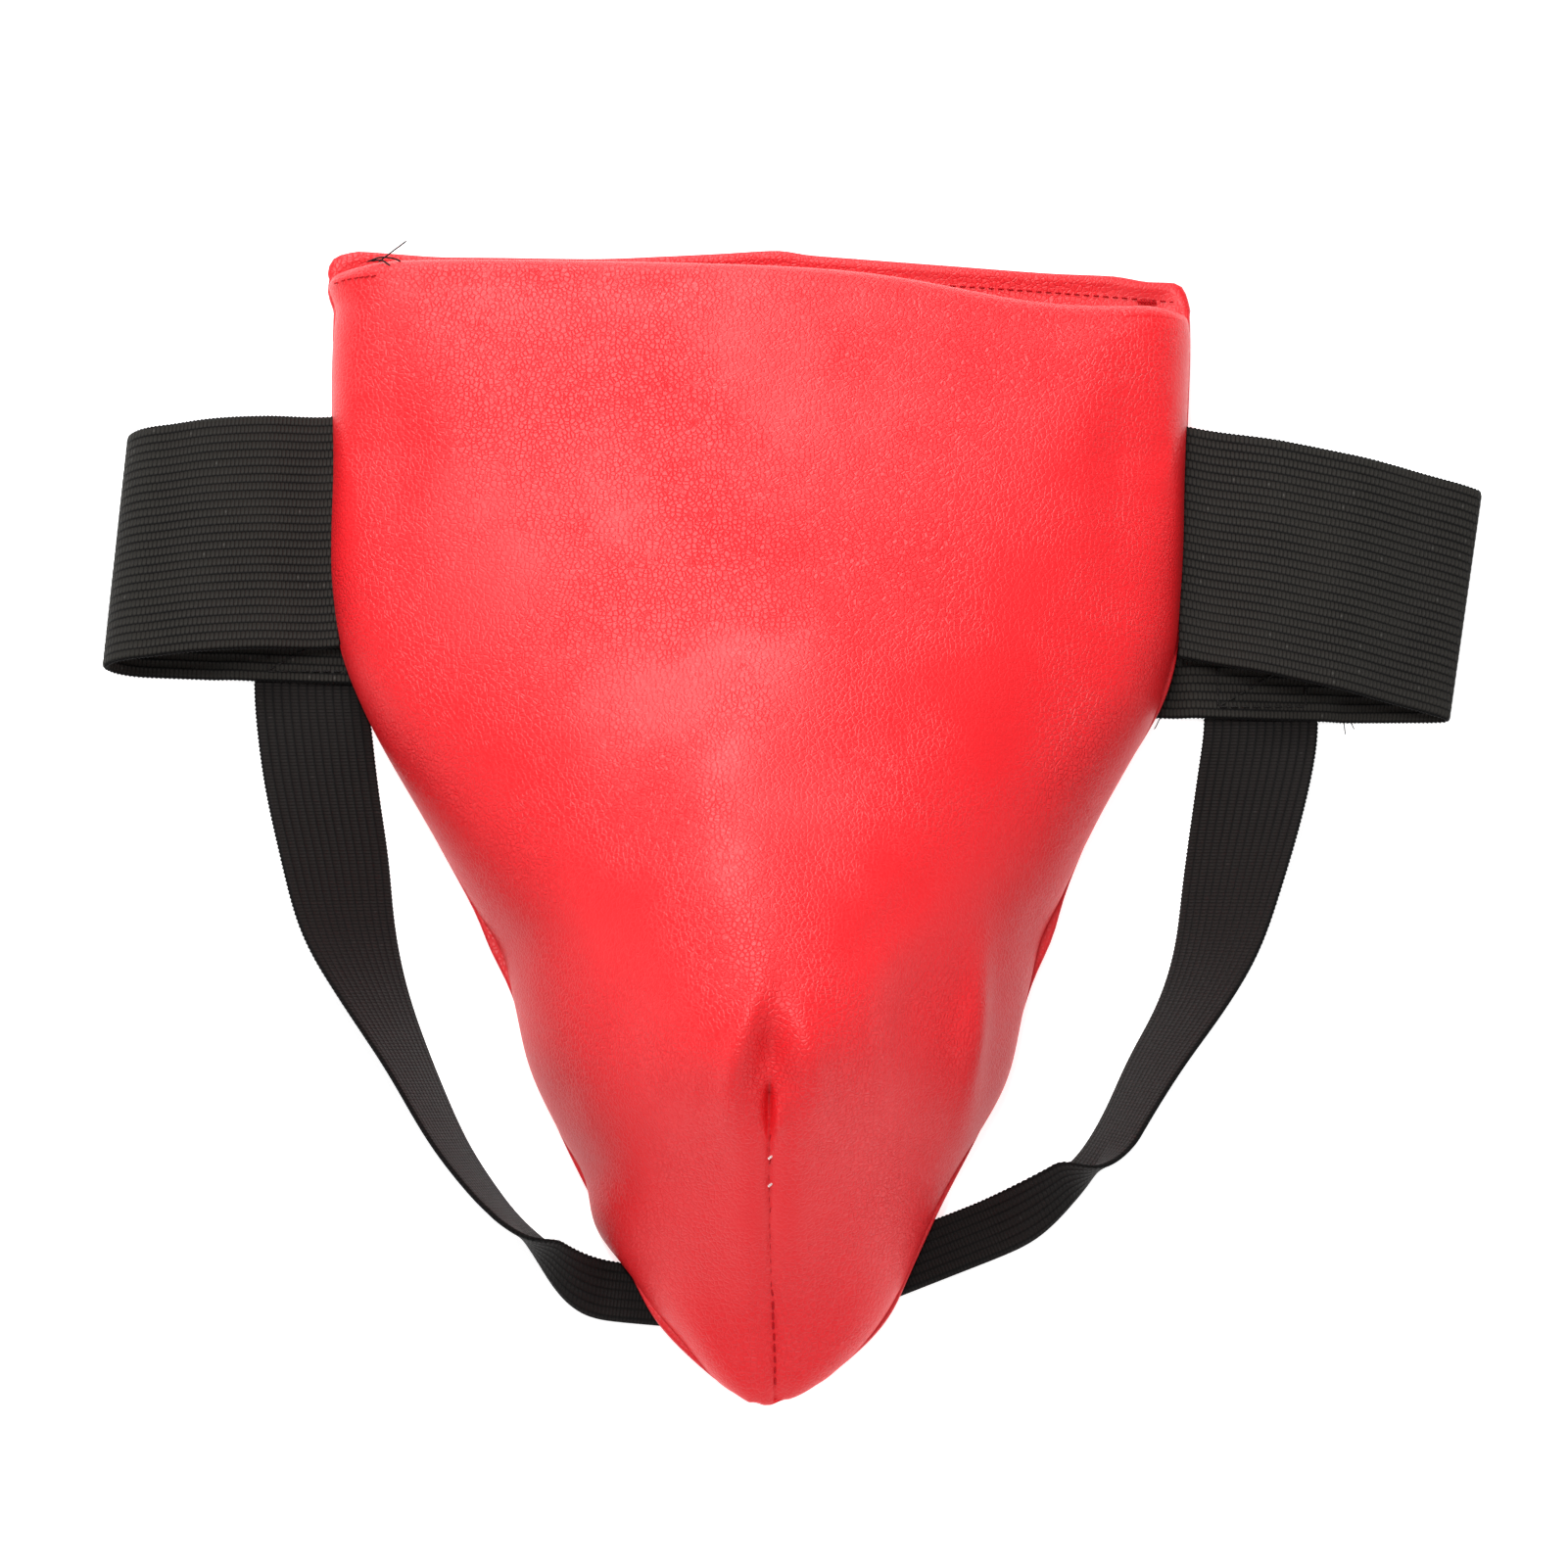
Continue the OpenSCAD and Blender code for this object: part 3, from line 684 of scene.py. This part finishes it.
def front_cover():
    """The padded front: main grid, a rolled and tucked mouth hem, and feet turned under at the seams."""
    rows, cols = ((250, 190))
    edge_y = panel_point(0.0, 0.0)[1]
    trial = np.linspace(0, 0.05, 200)
    first = float(np.interp(MOUTH_R, edge_y - panel_point(trial, 0.0)[:, 1], trial))
    q = np.linspace(-1, 1, cols)[None, :]
    v = row_places(first, 1, rows)[:, None]
    skin = soften_turn(cover_skin(v, q), q, cols // 2)
    skin += resample(simulated_bulge(first), np.linspace(0, 1, rows), np.linspace(0, 1, cols))
    lowered = mouth_shift(skin[..., 0]) * smoothstep((0.16 - v) / 0.15)
    skin[..., 1] += lowered
    relief = cover_relief(skin, q) + undulation(skin, 38, 1, 0.4) + undulation(skin, 15, 2, 0.16)
    fade = smoothstep((v - first) / 0.02) * smoothstep((1 - v) / 0.02)
    skin += grid_normals(skin) * (relief * fade * smoothstep((1 - np.abs(q)) / 0.06))[..., None]
    # the mouth: round the roll and back inside
    turn = np.linspace(math.pi, 0, 15)[:-1]
    depth = MOUTH_R * (1 - np.cos(turn))[:, None]
    corner = 1 - 0.35 * smoothstep((np.abs(q) - 0.55) / 0.4)
    squared = 0.8 * smoothstep((np.abs(q) - 0.7) / 0.3)
    roll = panel_point(first, q, depth)
    roll[..., 1] += MOUTH_R * np.sin(turn)[:, None] * corner
    tuck_v = row_places(first, first + TUCK_STEP * MOUTH_TUCK, 8)[::-1][:-1, None]
    tuck = panel_point(tuck_v, q, 2 * MOUTH_R)
    for part in (roll, tuck):
        part[..., 0] += (skin[0, :, 0] - part[..., 0]) * squared
        part[..., 1] += lowered[0]
    roll += (skin[0] - roll[-1]) * (np.arange(1, len(turn) + 1) / (len(turn) + 1))[:, None, None]
    grid = np.concatenate([tuck, roll, skin])
    # the feet: turned under and sewn to the back panel
    middle = (grid[:, 0] + grid[:, -1]) / 2
    edges = {}
    for column in (0, -1):
        foot = grid[:, column]
        reach = np.linalg.norm((middle - foot)[:, :2], axis=1, keepdims=True)
        inwards = unit(middle - foot)
        inwards[:, 2] = 0
        edges[column] = [foot + inwards * np.minimum(share, 0.6 * reach) - [0, 0, drop]
                         for share, drop in ((0.5, 0.3), (1.6, 0.05), (4.2, 0.0))]
    grid = np.concatenate([np.stack(edges[0][::-1], axis=1), grid, np.stack(edges[-1], axis=1)], axis=1)
    inner = grid - grid_normals(grid) * SKIN
    obj = make_piece("front_cover_leather", *shell_mesh(grid, inner), RED_LEATHER)
    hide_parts("front_cover")
    return skin, first


def places_on(grid, first, v, q):
    """Points of the cover's finished skin at the given row and column positions."""
    start = row_share(first)
    return resample(grid, (row_share(v) - start) / (1 - start), (q + 1) / 2)


# --- the other layers ---


def padded_layers(skin, first_row):
    """The foam and the pocket's lining, which take up the cover's dents and swells."""
    rows, cols = 100, 110
    q = np.linspace(-1, 1, cols)[None, :]
    foam = ("front_foam_pad", "front_foam", FOAM_TOP, FOAM_BOTTOM, FOAM_FIRST, FOAM, "foam")
    lining = ("pocket_lining_cloth", "pocket_lining", LINING_TOP, LINING_BOTTOM, LINING_FIRST,
              LINING_CLOTH, "lining_cloth")
    for name, node, top, bottom, first, material, slot in (foam, lining):
        v = row_places(first, FOAM_END, rows)[:, None]
        middle = panel_point(v, q)
        swell = places_on(skin, first_row, v[:, 0], q[0]) - middle
        x, y = middle[..., 0], middle[..., 1]
        # drawn in behind the tucked leather, so that no foam shows at the mouth's corners
        inset_q = q * (1 - 0.15 * smoothstep((0.14 - v) / 0.06))
        swell[..., 2] -= 0.9 * gauss(x - dart_x(y), 4) * smoothstep((-60 - y) / 15)
        swell *= smoothstep((1 - np.abs(q)) / 0.04)[..., None]
        shares = (1.0, 0.6) if slot == "foam" else (0.5, 0.5)
        layer = [panel_point(v, inset_q, depth) + swell * share
                 for depth, share in zip((top, bottom), shares)]
        for face in layer:
            face[..., 2] = np.maximum(face[..., 2], SEAT_Z + 1.3)
        obj = make_piece(name, *shell_mesh(*layer), material)
        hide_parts(node)


def back_outline(count):
    """The back panel's edge from the tip up the left seam, along the hem and down the right seam."""
    v = row_places(0, 1, count)
    edges = []
    for side, notch_y, notch, length, corner in ((-1, -34, 0.9, 7, HEM[0]), (1, -31, 1.0, 8, HEM[-1])):
        edge = seam_edge(v, side, -0.4)
        y = edge[:, 1]
        edge[:, 0] += side * (notch * gauss(y - notch_y, length) + 0.8 * gauss(y + 126, 8))
        edges.append(edge[y < corner[1] - 1])
    left, right = edges
    left[:, 0] -= top_left_flare(left[:, 1])
    hem = even_curve(spline(HEM, np.linspace(0, 1, 400)), 2.2, dims=2)
    return np.concatenate([left[::-1], hem, right])


def back_cover():
    """The flat back panel with a bead along its edge and a turned hem at the mouth."""
    outline = back_outline(120)
    centre = np.array([-6.0, 20.0])
    spans = np.array([1.0, 0.997, 0.99, 0.978, 0.967, 0.94, 0.86, 0.7, 0.5, 0.3, 0.12])[:, None]
    swell = np.array([0.0, 0.7, 1.15, 0.9, 0.1, 0.05] + [0.0] * 5)[:, None]
    rings = centre + (outline - centre) * spans[..., None]
    lift = swell * smoothstep((rings[..., 1] - 122) / 6)
    half = np.where(spans == 1, 0, COVER_T / 2)
    mid_z = SEAT_Z - COVER_T / 2
    upper, lower = np.dstack([rings, mid_z + half + lift]), np.dstack([rings, mid_z - half + 0 * lift])
    n = len(outline)
    verts = [upper.reshape(-1, 3), lower[1:].reshape(-1, 3)]
    rows = len(spans)
    faces = grid_faces(rows, n, wrap=True).tolist()
    lower = np.concatenate([np.arange(n), rows * n + np.arange((rows - 1) * n)]).reshape(rows, n)
    beside = np.roll(lower, -1, axis=1)
    faces += np.stack([lower[:-1], lower[1:], beside[1:], beside[:-1]], axis=-1).reshape(-1, 4).tolist()
    faces.append([(rows - 1) * n + i for i in range(n)])
    faces.append(list(lower[-1, ::-1]))
    obj = make_piece("back_cover_leather", np.concatenate(verts), faces, HEM_LEATHER)
    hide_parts("back_cover")


# --- cup ---


def cup_points(t, q, depth):
    """Points of the cup's dome at a depth: t from its top to the tip, q from left to right."""
    s = spline(CUP, t)
    w, h = np.maximum(s[..., 1] - depth, 0.8), np.maximum(s[..., 2] - depth, 0.3)
    pull = depth * ((1 - t) ** 8 - t ** 8)
    turn = np.radians(90) * q
    x, y, z = CUP_X + w * np.sin(turn), s[..., 0] - pull, CUP_Z + h * np.cos(turn)
    return np.stack(np.broadcast_arrays(x, y, z), axis=-1)


def hard_cup():
    """The moulded cup: a domed shell with three raised ribs and vent holes."""
    t, q = np.linspace(0, 1, 90)[:, None], np.linspace(-1, 1, 81)[None, :]
    outer, inner = cup_points(t, q, 0.0), cup_points(t, q, CUP_WALL)
    long_way = smoothstep((t - 0.12) / 0.1) * smoothstep((0.86 - t) / 0.1)
    ribs = sum(gauss(q - place, 0.05) for place in (-0.52, 0.0, 0.52)) * long_way
    band = gauss(np.abs(q) - 0.93, 0.035) * smoothstep((t - 0.05) / 0.1) * smoothstep((0.95 - t) / 0.1)
    outer += grid_normals(outer) * (0.55 * ribs + 0.4 * band)[..., None]
    obj = make_piece("hard_cup", *shell_mesh(outer, inner), CUP_PLASTIC, body="cup")
    places = [(CUP_X, y) for y in (-34, -50, -66)]
    places += [(CUP_X + 14 * side, y) for side in (-1, 1) for y in (-42, -58)]
    drills = [tube([[x, y, CUP_Z + 20], [x, y, CUP_Z + 70]], VENT_D / 2, sides=28) for x, y in places]
    cutter = make_piece("cup_drills", *joined(drills), CUP_PLASTIC, body=None)
    cut = obj.modifiers.new("vents", "BOOLEAN")
    cut.operation, cut.object, cut.solver = "DIFFERENCE", cutter, "EXACT"
    apply_modifiers(obj)
    bpy.data.objects.remove(cutter)
    bevel = obj.modifiers.new("edge", "BEVEL")
    bevel.width, bevel.segments, bevel.limit_method = 0.5 * MM, 2, "ANGLE"
    bevel.angle_limit = math.radians(50)
    apply_modifiers(obj)
    obj.data.polygons.foreach_set("use_smooth", [True] * len(obj.data.polygons))
    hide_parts("cup_shell")


def cup_rim():
    """The soft bead under the cup's edge."""
    s = spline(CUP, np.linspace(0, 1, 70))
    left, right = (np.stack([CUP_X + side * s[:, 1], s[:, 0]], axis=-1) for side in (-1, 1))
    loop = np.concatenate([left, right[::-1], left[:1]])
    loop = even_curve(loop, arc_lengths(loop)[-1] / RIM_RINGS, dims=2)[:-1]
    for _ in range(6):
        loop = (np.roll(loop, 1, axis=0) + 2 * loop + np.roll(loop, -1, axis=0)) / 4
    ahead = unit(np.roll(loop, -1, axis=0) - np.roll(loop, 1, axis=0))
    inward = np.stack([-ahead[:, 1], ahead[:, 0]], axis=-1)
    if np.dot(inward[0], np.array([CUP_X, -60]) - loop[0]) < 0:
        inward = -inward
    half_w, half_t, sides = RIM_W / 2, RIM_T / 2, 20
    angles = np.arange(sides) * 2 * math.pi / sides
    # a squarish oval section
    across, lift = (half * np.sign(wave) * np.abs(wave) ** 0.6
                    for half, wave in ((half_w, np.cos(angles)), (half_t, np.sin(angles))))
    n = len(loop)
    verts = np.empty((n, sides, 3))
    verts[..., :2] = loop[:, None] + inward[:, None] * (half_w + across)[:, None]
    verts[..., 2] = RIM_Z + half_t + lift
    index = np.arange(n * sides).reshape(n, sides)
    beside, after = np.roll(index, -1, axis=1), np.roll(index, -1, axis=0)
    faces = np.stack([index, beside, np.roll(after, -1, axis=1), after], axis=-1).reshape(-1, 4)
    obj = make_piece("cup_rim_bead", verts.reshape(-1, 3), faces, CUP_RUBBER, body="cup")
    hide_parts("cup_rim")


# --- elastic ---

RIB_DEPTH = 0.08
PICOT_PITCH = 1.05
PICOT_SIDES = 5
# How much of the width, in mm, a fold's bend is spread over
FOLD_ZONE = 2.6


def weave_places(along, across):
    """Values of the weave attribute: the place along and across the band in mm."""
    return np.column_stack([along, np.broadcast_to(across, len(along)), np.zeros(len(along))])


def band_piece(name, line, first, across, width, thickness, rib_count, material, fold=0.0):
    """A ribbed elastic band with picot edges. first is how far beside the line its first edge lies,
    and fold is the angle in radians that each ring is folded about its middle."""
    samples = rib_count * 3 + 1
    c = np.linspace(-width / 2, width / 2, samples)
    rib = np.abs(np.sin(math.pi * rib_count * (c / width + 0.5))) ** 0.7
    half = thickness / 2 - RIB_DEPTH * (1 - rib)
    half[0] = half[-1] = 0.35 * thickness
    s = arc_lengths(line)
    across = unit(across)
    out = unit(np.cross(unit(np.gradient(line, axis=0)), across))
    fold = np.broadcast_to(fold, len(line))[:, None]
    bend = fold * smoothstep((c + FOLD_ZONE / 2) / FOLD_ZONE)
    step = np.diff(c, prepend=c[0])
    middle = (bend + np.roll(bend, 1, axis=1)) / 2
    flat_x = first + np.cumsum(np.cos(middle) * step, axis=1)
    flat_n = np.cumsum(np.sin(middle) * step, axis=1)
    place = line[:, None] + across[:, None] * flat_x[..., None] + out[:, None] * flat_n[..., None]
    face_out = np.cos(bend)[..., None] * out[:, None] - np.sin(bend)[..., None] * across[:, None]
    top = place + face_out * half[None, :, None]
    bottom = place - face_out * half[None, :, None]
    rings = np.concatenate([top, bottom[:, ::-1]], axis=1)
    n, cols = rings.shape[:2]
    parts = [(rings.reshape(-1, 3), tube_faces(n, cols))]
    weaves = [weave_places(np.repeat(s, cols), np.tile(np.concatenate([c, c[::-1]]) + width / 2, n))]
    for edge in (0, -1):
        cord = even_curve(np.column_stack([place[:, edge], s]), PICOT_PITCH / 3)
        radius = 0.36 + 0.16 * np.cos(2 * math.pi * cord[:, 3] / PICOT_PITCH)
        parts.append(tube(cord[:, :3], radius, sides=PICOT_SIDES))
        weaves.append(weave_places(np.repeat(cord[:, 3], PICOT_SIDES), width if edge else 0.0))
    obj = make_piece(name, *joined(parts), material)
    data = np.concatenate(weaves)
    attribute = obj.data.attributes.new("weave", "FLOAT_VECTOR", "POINT")
    attribute.data.foreach_set("vector", data.astype(np.float32).ravel())
    return obj, data[:, 0]


def waist_belt():
    """The belt's loop, from the left side seam round the back to the right one."""
    left_end, right_end = [-113.5, 73.2, 6.3, 0], [98.4, 70.6, 6.5, 1.8]
    fine = chord_curve(np.vstack([left_end, BELT, right_end]), 1600)
    path = even_curve(fine, 1.0)
    lean = path[:, 3]
    across = np.stack([lean, np.sqrt(BELT_W ** 2 - lean ** 2), np.zeros(len(lean))], axis=-1)
    obj, _ = band_piece("waist_belt_elastic", path[:, :3], -BELT_W / 2, across, BELT_W, BELT_T, BELT_RIBS,
                        BELT_ELASTIC)
    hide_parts("waist_belt")


def strap_rings(side):
    """Inner edge, direction, tilt and lift along a whole strap, from the belt to under the tip."""
    stations, (tip_start, tip_end) = STRAPS[side], TIP_ENDS[side]
    lap_count, free_count, end_count = 12, 220, 16
    lap = np.repeat(stations[:1], lap_count, axis=0)
    lap[:, 1] = np.linspace(stations[0, 1] + STRAP_LAP, stations[0, 1] + 1.5, lap_count)
    free = spline(stations, np.linspace(0, 1, free_count))
    end = np.repeat(stations[-1:], end_count, axis=0)
    end[:, :3] = tip_start + (tip_end - tip_start) * np.linspace(0, 1, end_count)[:, None]
    lift = np.repeat([0, TIP_END_Z], [lap_count + free_count, end_count])
    rings = np.column_stack([np.concatenate([lap, free, end]), lift])
    rings[:, 3] = np.maximum(0, rings[:, 3])
    return even_curve(rings, 0.8, dims=2)


def leg_strap(side):
    """A leg strap that turns on its edge, folds double and goes under the tip."""
    rings = strap_rings(side)
    # smoothed along its length, so that it turns and folds softly
    reach = 11
    kernel = np.hanning(2 * reach + 3)[1:-1]
    for k in range(rings.shape[1]):
        padded = np.pad(rings[:, k], reach, mode="reflect", reflect_type="odd")
        rings[:, k] = np.convolve(padded, kernel / kernel.sum(), mode="valid")
    angle, tilt = np.radians(rings[:, 2]), np.radians(rings[:, 3])
    level = np.cos(tilt)
    across = np.stack([np.cos(angle) * level, np.sin(angle) * level, np.sin(tilt)], axis=-1)
    inner = np.column_stack([rings[:, :2], STRAP_T / 2 + rings[:, 4] + 0.15])
    start_x, end_x = FOLDS[side]
    fold = (np.pi - 2 * tilt) * smoothstep((rings[:, 0] - start_x) / (end_x - start_x)) * SIDES[side]
    obj, along = band_piece(side + "_leg_strap_elastic", inner, 0.0, across, STRAP_W, STRAP_T,
                            STRAP_RIBS, STRAP_ELASTIC, fold)
    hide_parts(side + "_leg_strap", side + "_strap_ends")
    obj.parent = None
    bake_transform(obj)


# --- sewing ---


def stitch(place, along, up, length, radius=0.3, arch=0.25):
    """One stitch: a short thread that rises out of the sheet and dives back into it."""
    along, up = unit(np.asarray(along, float)), unit(np.asarray(up, float))
    t = np.linspace(-1, 1, 9)[:, None]
    path = place + along * (t * length / 2) + up * (arch * (1 - np.abs(t) ** 2.4) - 0.12)
    return tube(path, radius, sides=7, taper=0.12)


def flat_stitch(place, along, z, facing, length, radius, arch):
    """A stitch on a level face at height z that faces up (1) or down (-1)."""
    return stitch([*place, z], [*along, 0], (0, 0, facing), length, radius, arch)


def sewn(name, parts, material, *nodes, slot="red_thread"):
    """A piece of thread on the panel, which stands for CAD nodes where any are given."""
    obj = make_piece(name, *joined(parts), material)
    if nodes:
        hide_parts(*nodes)


def surface_at(grid, x, y):
    """The point of the cover's grid nearest to x, y, and its normal."""
    distance = (grid[..., 0] - x) ** 2 + (grid[..., 1] - y) ** 2 - 0.02 * grid[..., 2]
    j, i = np.unravel_index(np.argmin(distance), distance.shape)
    j, i = min(max(j, 1), grid.shape[0] - 2), min(max(i, 1), grid.shape[1] - 2)
    a, b = grid[j, i + 1] - grid[j, i - 1], grid[j + 1, i] - grid[j - 1, i]
    return grid[j, i], unit(np.cross(b, a))


def dart_stitching(grid):
    """The dart's stitches, sunk below the leather until near the tip, and two pale stitches on the seam
    whose colour is a painted glint.
    """
    random.seed(5)
    y, parts, pale = DART_TOP_Y - 5.5, [], []
    while y > -142.5:
        ahead = 2.0 + random.uniform(-0.2, 0.2)
        a, up = surface_at(grid, dart_x(y), y)
        b, _ = surface_at(grid, dart_x(y - ahead), y - ahead)
        along = b - a
        mid = a + along / 2
        sunk = 0.3 * smoothstep((mid[1] + 124) / 6)
        length = np.linalg.norm(along) * 0.72 + 0.4
        parts.append(stitch(mid + up * (0.05 - sunk), along, up, length, 0.26, 0.22))
        y -= ahead * 1.25
    sewn("dart_stitching", parts, RED_THREAD, "centre_seam_stitching")
    # two pale stitches on the seam: painted glints
    for y in (-92.2, -98.0):
        a, up = surface_at(grid, dart_x(y) + 0.3, y)
        pale.append(stitch(a + up * 0.3, (0.8, 0.7, -0.3), up, 1.7, 0.28, 0.3))
    sewn("dart_painted_glints", pale, GLINT_THREAD)


def mouth_stitching():
    """The row of stitches along the back panel's hem."""
    parts = []
    for u in np.linspace(-0.93, 0.985, 86):
        a, b = hem_point(u), hem_point(u + 0.01)
        parts.append(flat_stitch(a, b - a, SEAT_Z + 0.22, 1, 1.5, 0.2, 0.26))
    sewn("mouth_hem_stitching_thread", parts, RED_THREAD, "mouth_hem_stitching")


def zigzag(points, width, count):
    """A dense zigzag sewn along a line of points, and the core thread under it."""
    points = np.asarray(points, float)
    share = np.linspace(0, 1, count)
    line = np.stack([np.interp(share, np.linspace(0, 1, len(points)), points[:, k])
                     for k in range(3)], axis=1)
    ahead = unit(np.gradient(line, axis=0))
    across = unit(np.cross(ahead, [0, 0, 1.0]))
    swing = np.where(np.arange(count) % 2, 1, -1) * width / 2
    swing = swing * np.sin(np.pi * np.linspace(0.12, 0.88, count))
    thread = even_curve(line + across * swing[:, None], 0.35)
    return [tube(thread, 0.24, sides=6), tube(line, 0.32, sides=8, taper=0.15)]


def bartack(side, cover_grid):
    """The tack at the mouth's end: stitches over the folded corner at left, a knot at right."""
    if side == "left":
        parts = []
        for share in np.linspace(0, 1, 7):
            place, up = surface_at(cover_grid, -115.2 + 9.8 * share, 140.2 + 2.0 * share)
            parts.append(stitch(place + up * 0.15, (1, 0.25, 0), up, 1.5, 0.2, 0.24))
    else:
        line = [(90.9 + 2.4 * share, 133.7 - 0.2 * share, SEAT_Z + 0.9 + 0.5 * (1 - share ** 2))
                for share in np.linspace(-1, 1, 7)]
        parts = zigzag(line, 1.5, 14)
    sewn(side + "_bartack_thread", parts, RED_THREAD, side + "_bartack")


def side_rows(side):
    """The row of stitches down a side seam, on the back panel's underside."""
    sign = SIDES[side]
    parts = []
    for v in 0.02 + 0.82 * np.arange(104) / 103:
        a, b = seam_edge(v, sign, 3.5), seam_edge(v + 0.005, sign, 3.5)
        parts.append(flat_stitch(a, b - a, SEAT_Z - COVER_T - 0.05, -1, 1.9, 0.24, 0.22))
    sewn(side + "_side_stitching_thread", parts, RED_THREAD, side + "_side_stitching")


def strap_box(side):
    """The sewn box that holds a strap's upper end to the belt's back layer."""
    x0, y0 = STRAPS[side][0][:2]
    x0 = min(x0, x0 + SIDES[side] * STRAP_W) + 3
    z = BELT_BACK_Z + BELT_T / 2 + 0.1
    w, low, high = STRAP_W - 6, y0 + 5, y0 + 18
    corners = np.array([(x0, low), (x0 + w, low), (x0 + w, high), (x0, high), (x0, low), (x0 + w, high)])
    parts = []
    for corner, along in zip(corners, np.diff(corners, axis=0)):
        count = int(math.hypot(*along) / 2.6)
        for k in range(count):
            parts.append(flat_stitch(corner + along * (k + 0.5) / count, along, z, 1, 2.0, 0.25, 0.25))
    sewn(side + "_strap_stitching_thread", parts, BLACK_THREAD, side + "_strap_stitching",
         slot="black_thread")


def tip_rows():
    """Two rows of stitches across each strap's end under the tip."""
    parts = []
    for start, end in TIP_ENDS.values():
        angle = math.radians(end[2])
        across = np.array([math.cos(angle), math.sin(angle)])
        back = unit((start - end)[:2])
        for row in (10, 15):
            for k in range(5):
                place = end[:2] + back * row + across * (2.5 + 2.3 * k)
                parts.append(flat_stitch(place, across, TIP_END_Z - 0.02, -1, 1.9, 0.24, 0.2))
    sewn("tip_stitching_thread", parts, RED_THREAD, "tip_stitching")


def loose_threads():
    """Cut thread ends that stand up from the left bartack and along the belt's back layer."""
    corner = [-103.5, 141.5, 16.5]
    runs = [
        [(-1, -0.6, 0.4), (1.5, 0.6, 2.6), (4, 2.2, 3.6), (6.4, 4.2, 3.4)],
        [(-3, -0.4, 0.6), (-0.5, -0.6, 2.2), (1.6, -1.8, 2.6), (3.2, -3.4, 2.2)],
        [(-4, -0.6, 0.6), (0, 0.2, 2.0), (3.0, -0.2, 2.2), (4.8, -0.8, 1.6)],
    ]
    parts = [tube(chord_curve(np.array(run) + corner, 22), 0.21, sides=6, taper=0.08) for run in runs]
    sewn("bartack_thread_ends", parts, BLACK_THREAD, slot="black_thread")
    parts = []
    for x, y, dx, dy in ((93.5, 26.4, -2.0, -3.2), (139, 25.4, 0.6, -3.6), (140.5, 25.4, 1.4, -2.2)):
        points = np.array([(x, y, 1.0), (x + dx * 0.4, y + dy * 0.3, 1.3),
                           (x + dx * 0.7, y + dy * 0.7, 1.0), (x + dx, y + dy, 0.5)])
        parts.append(tube(chord_curve(points, 14), 0.13, sides=6, taper=0.1))
    sewn("belt_thread_ends", parts, BLACK_THREAD, slot="black_thread")


# --- stage ---


def stage():
    """The pale floor that the protector lies on."""
    mesh = bpy.data.meshes.new("floor")
    mesh.from_pydata([(-3, -3, 0), (3, -3, 0), (3, 3, 0), (-3, 3, 0)], [], [(0, 1, 2, 3)])
    floor = add_object("floor", mesh)
    white = Finish("pale_floor", Roughness=0.9, Emission_Color=(1, 1, 1, 1), Emission_Strength=0.75,
                   Base_Color=(0.8, 0.8, 0.8, 1))
    mesh.materials.append(white.material)


def softbox(name, place, size, power):
    """A rectangular light that faces the protector's middle."""
    light = bpy.data.lights.new(name, "AREA")
    light.shape = "RECTANGLE"
    light.size, light.size_y = size
    light.energy = power
    obj = add_object(name, light)
    obj.location = place
    obj.rotation_euler = (Vector((0, 0, 0.03)) - Vector(place)).to_track_quat("-Z", "Y").to_euler()


def studio():
    """World, softboxes and camera, in metres."""
    scene = bpy.context.scene
    world = bpy.data.worlds.new("studio")
    world.use_nodes = True
    background = world.node_tree.nodes["Background"].inputs
    background["Color"].default_value = (1, 1, 1, 1)
    background["Strength"].default_value = 0.3
    scene.world = world
    softbox("key_high", (-0.22, 0.42, 1.15), (0.2, 0.6), 10.0)
    softbox("key_low", (-0.20, 1.0, 0.62), (0.26, 0.6), 9.5)
    softbox("front", (0.1, -0.9, 0.9), (1.2, 0.5), 2.4)
    softbox("side_left", (-0.9, -0.5, 0.4), (0.4, 0.6), 1.5)
    softbox("side_right", (0.9, -0.5, 0.4), (0.4, 0.6), 1.5)
    scene.view_settings.view_transform = "Standard"
    camera = add_object("camera", bpy.data.cameras.new("camera"))
    target, distance, tilt = Vector((-0.0017, 0.0050, 0.0200)), 1.2, math.radians(12)
    camera.location = target + Vector((0, -math.sin(tilt), math.cos(tilt))) * distance
    camera.rotation_euler = (tilt, 0, 0)
    camera.data.lens = 111.5
    camera.data.sensor_width = 36
    camera.data.clip_start, camera.data.clip_end = 0.01, 20
    scene.camera = camera


stage()
studio()
cover, cover_first = front_cover()
padded_layers(cover, cover_first)
back_cover()
hard_cup()
cup_rim()
waist_belt()
for name in SIDES:
    leg_strap(name)
    bartack(name, cover)
    side_rows(name)
    strap_box(name)
dart_stitching(cover)
mouth_stitching()
tip_rows()
loose_threads()
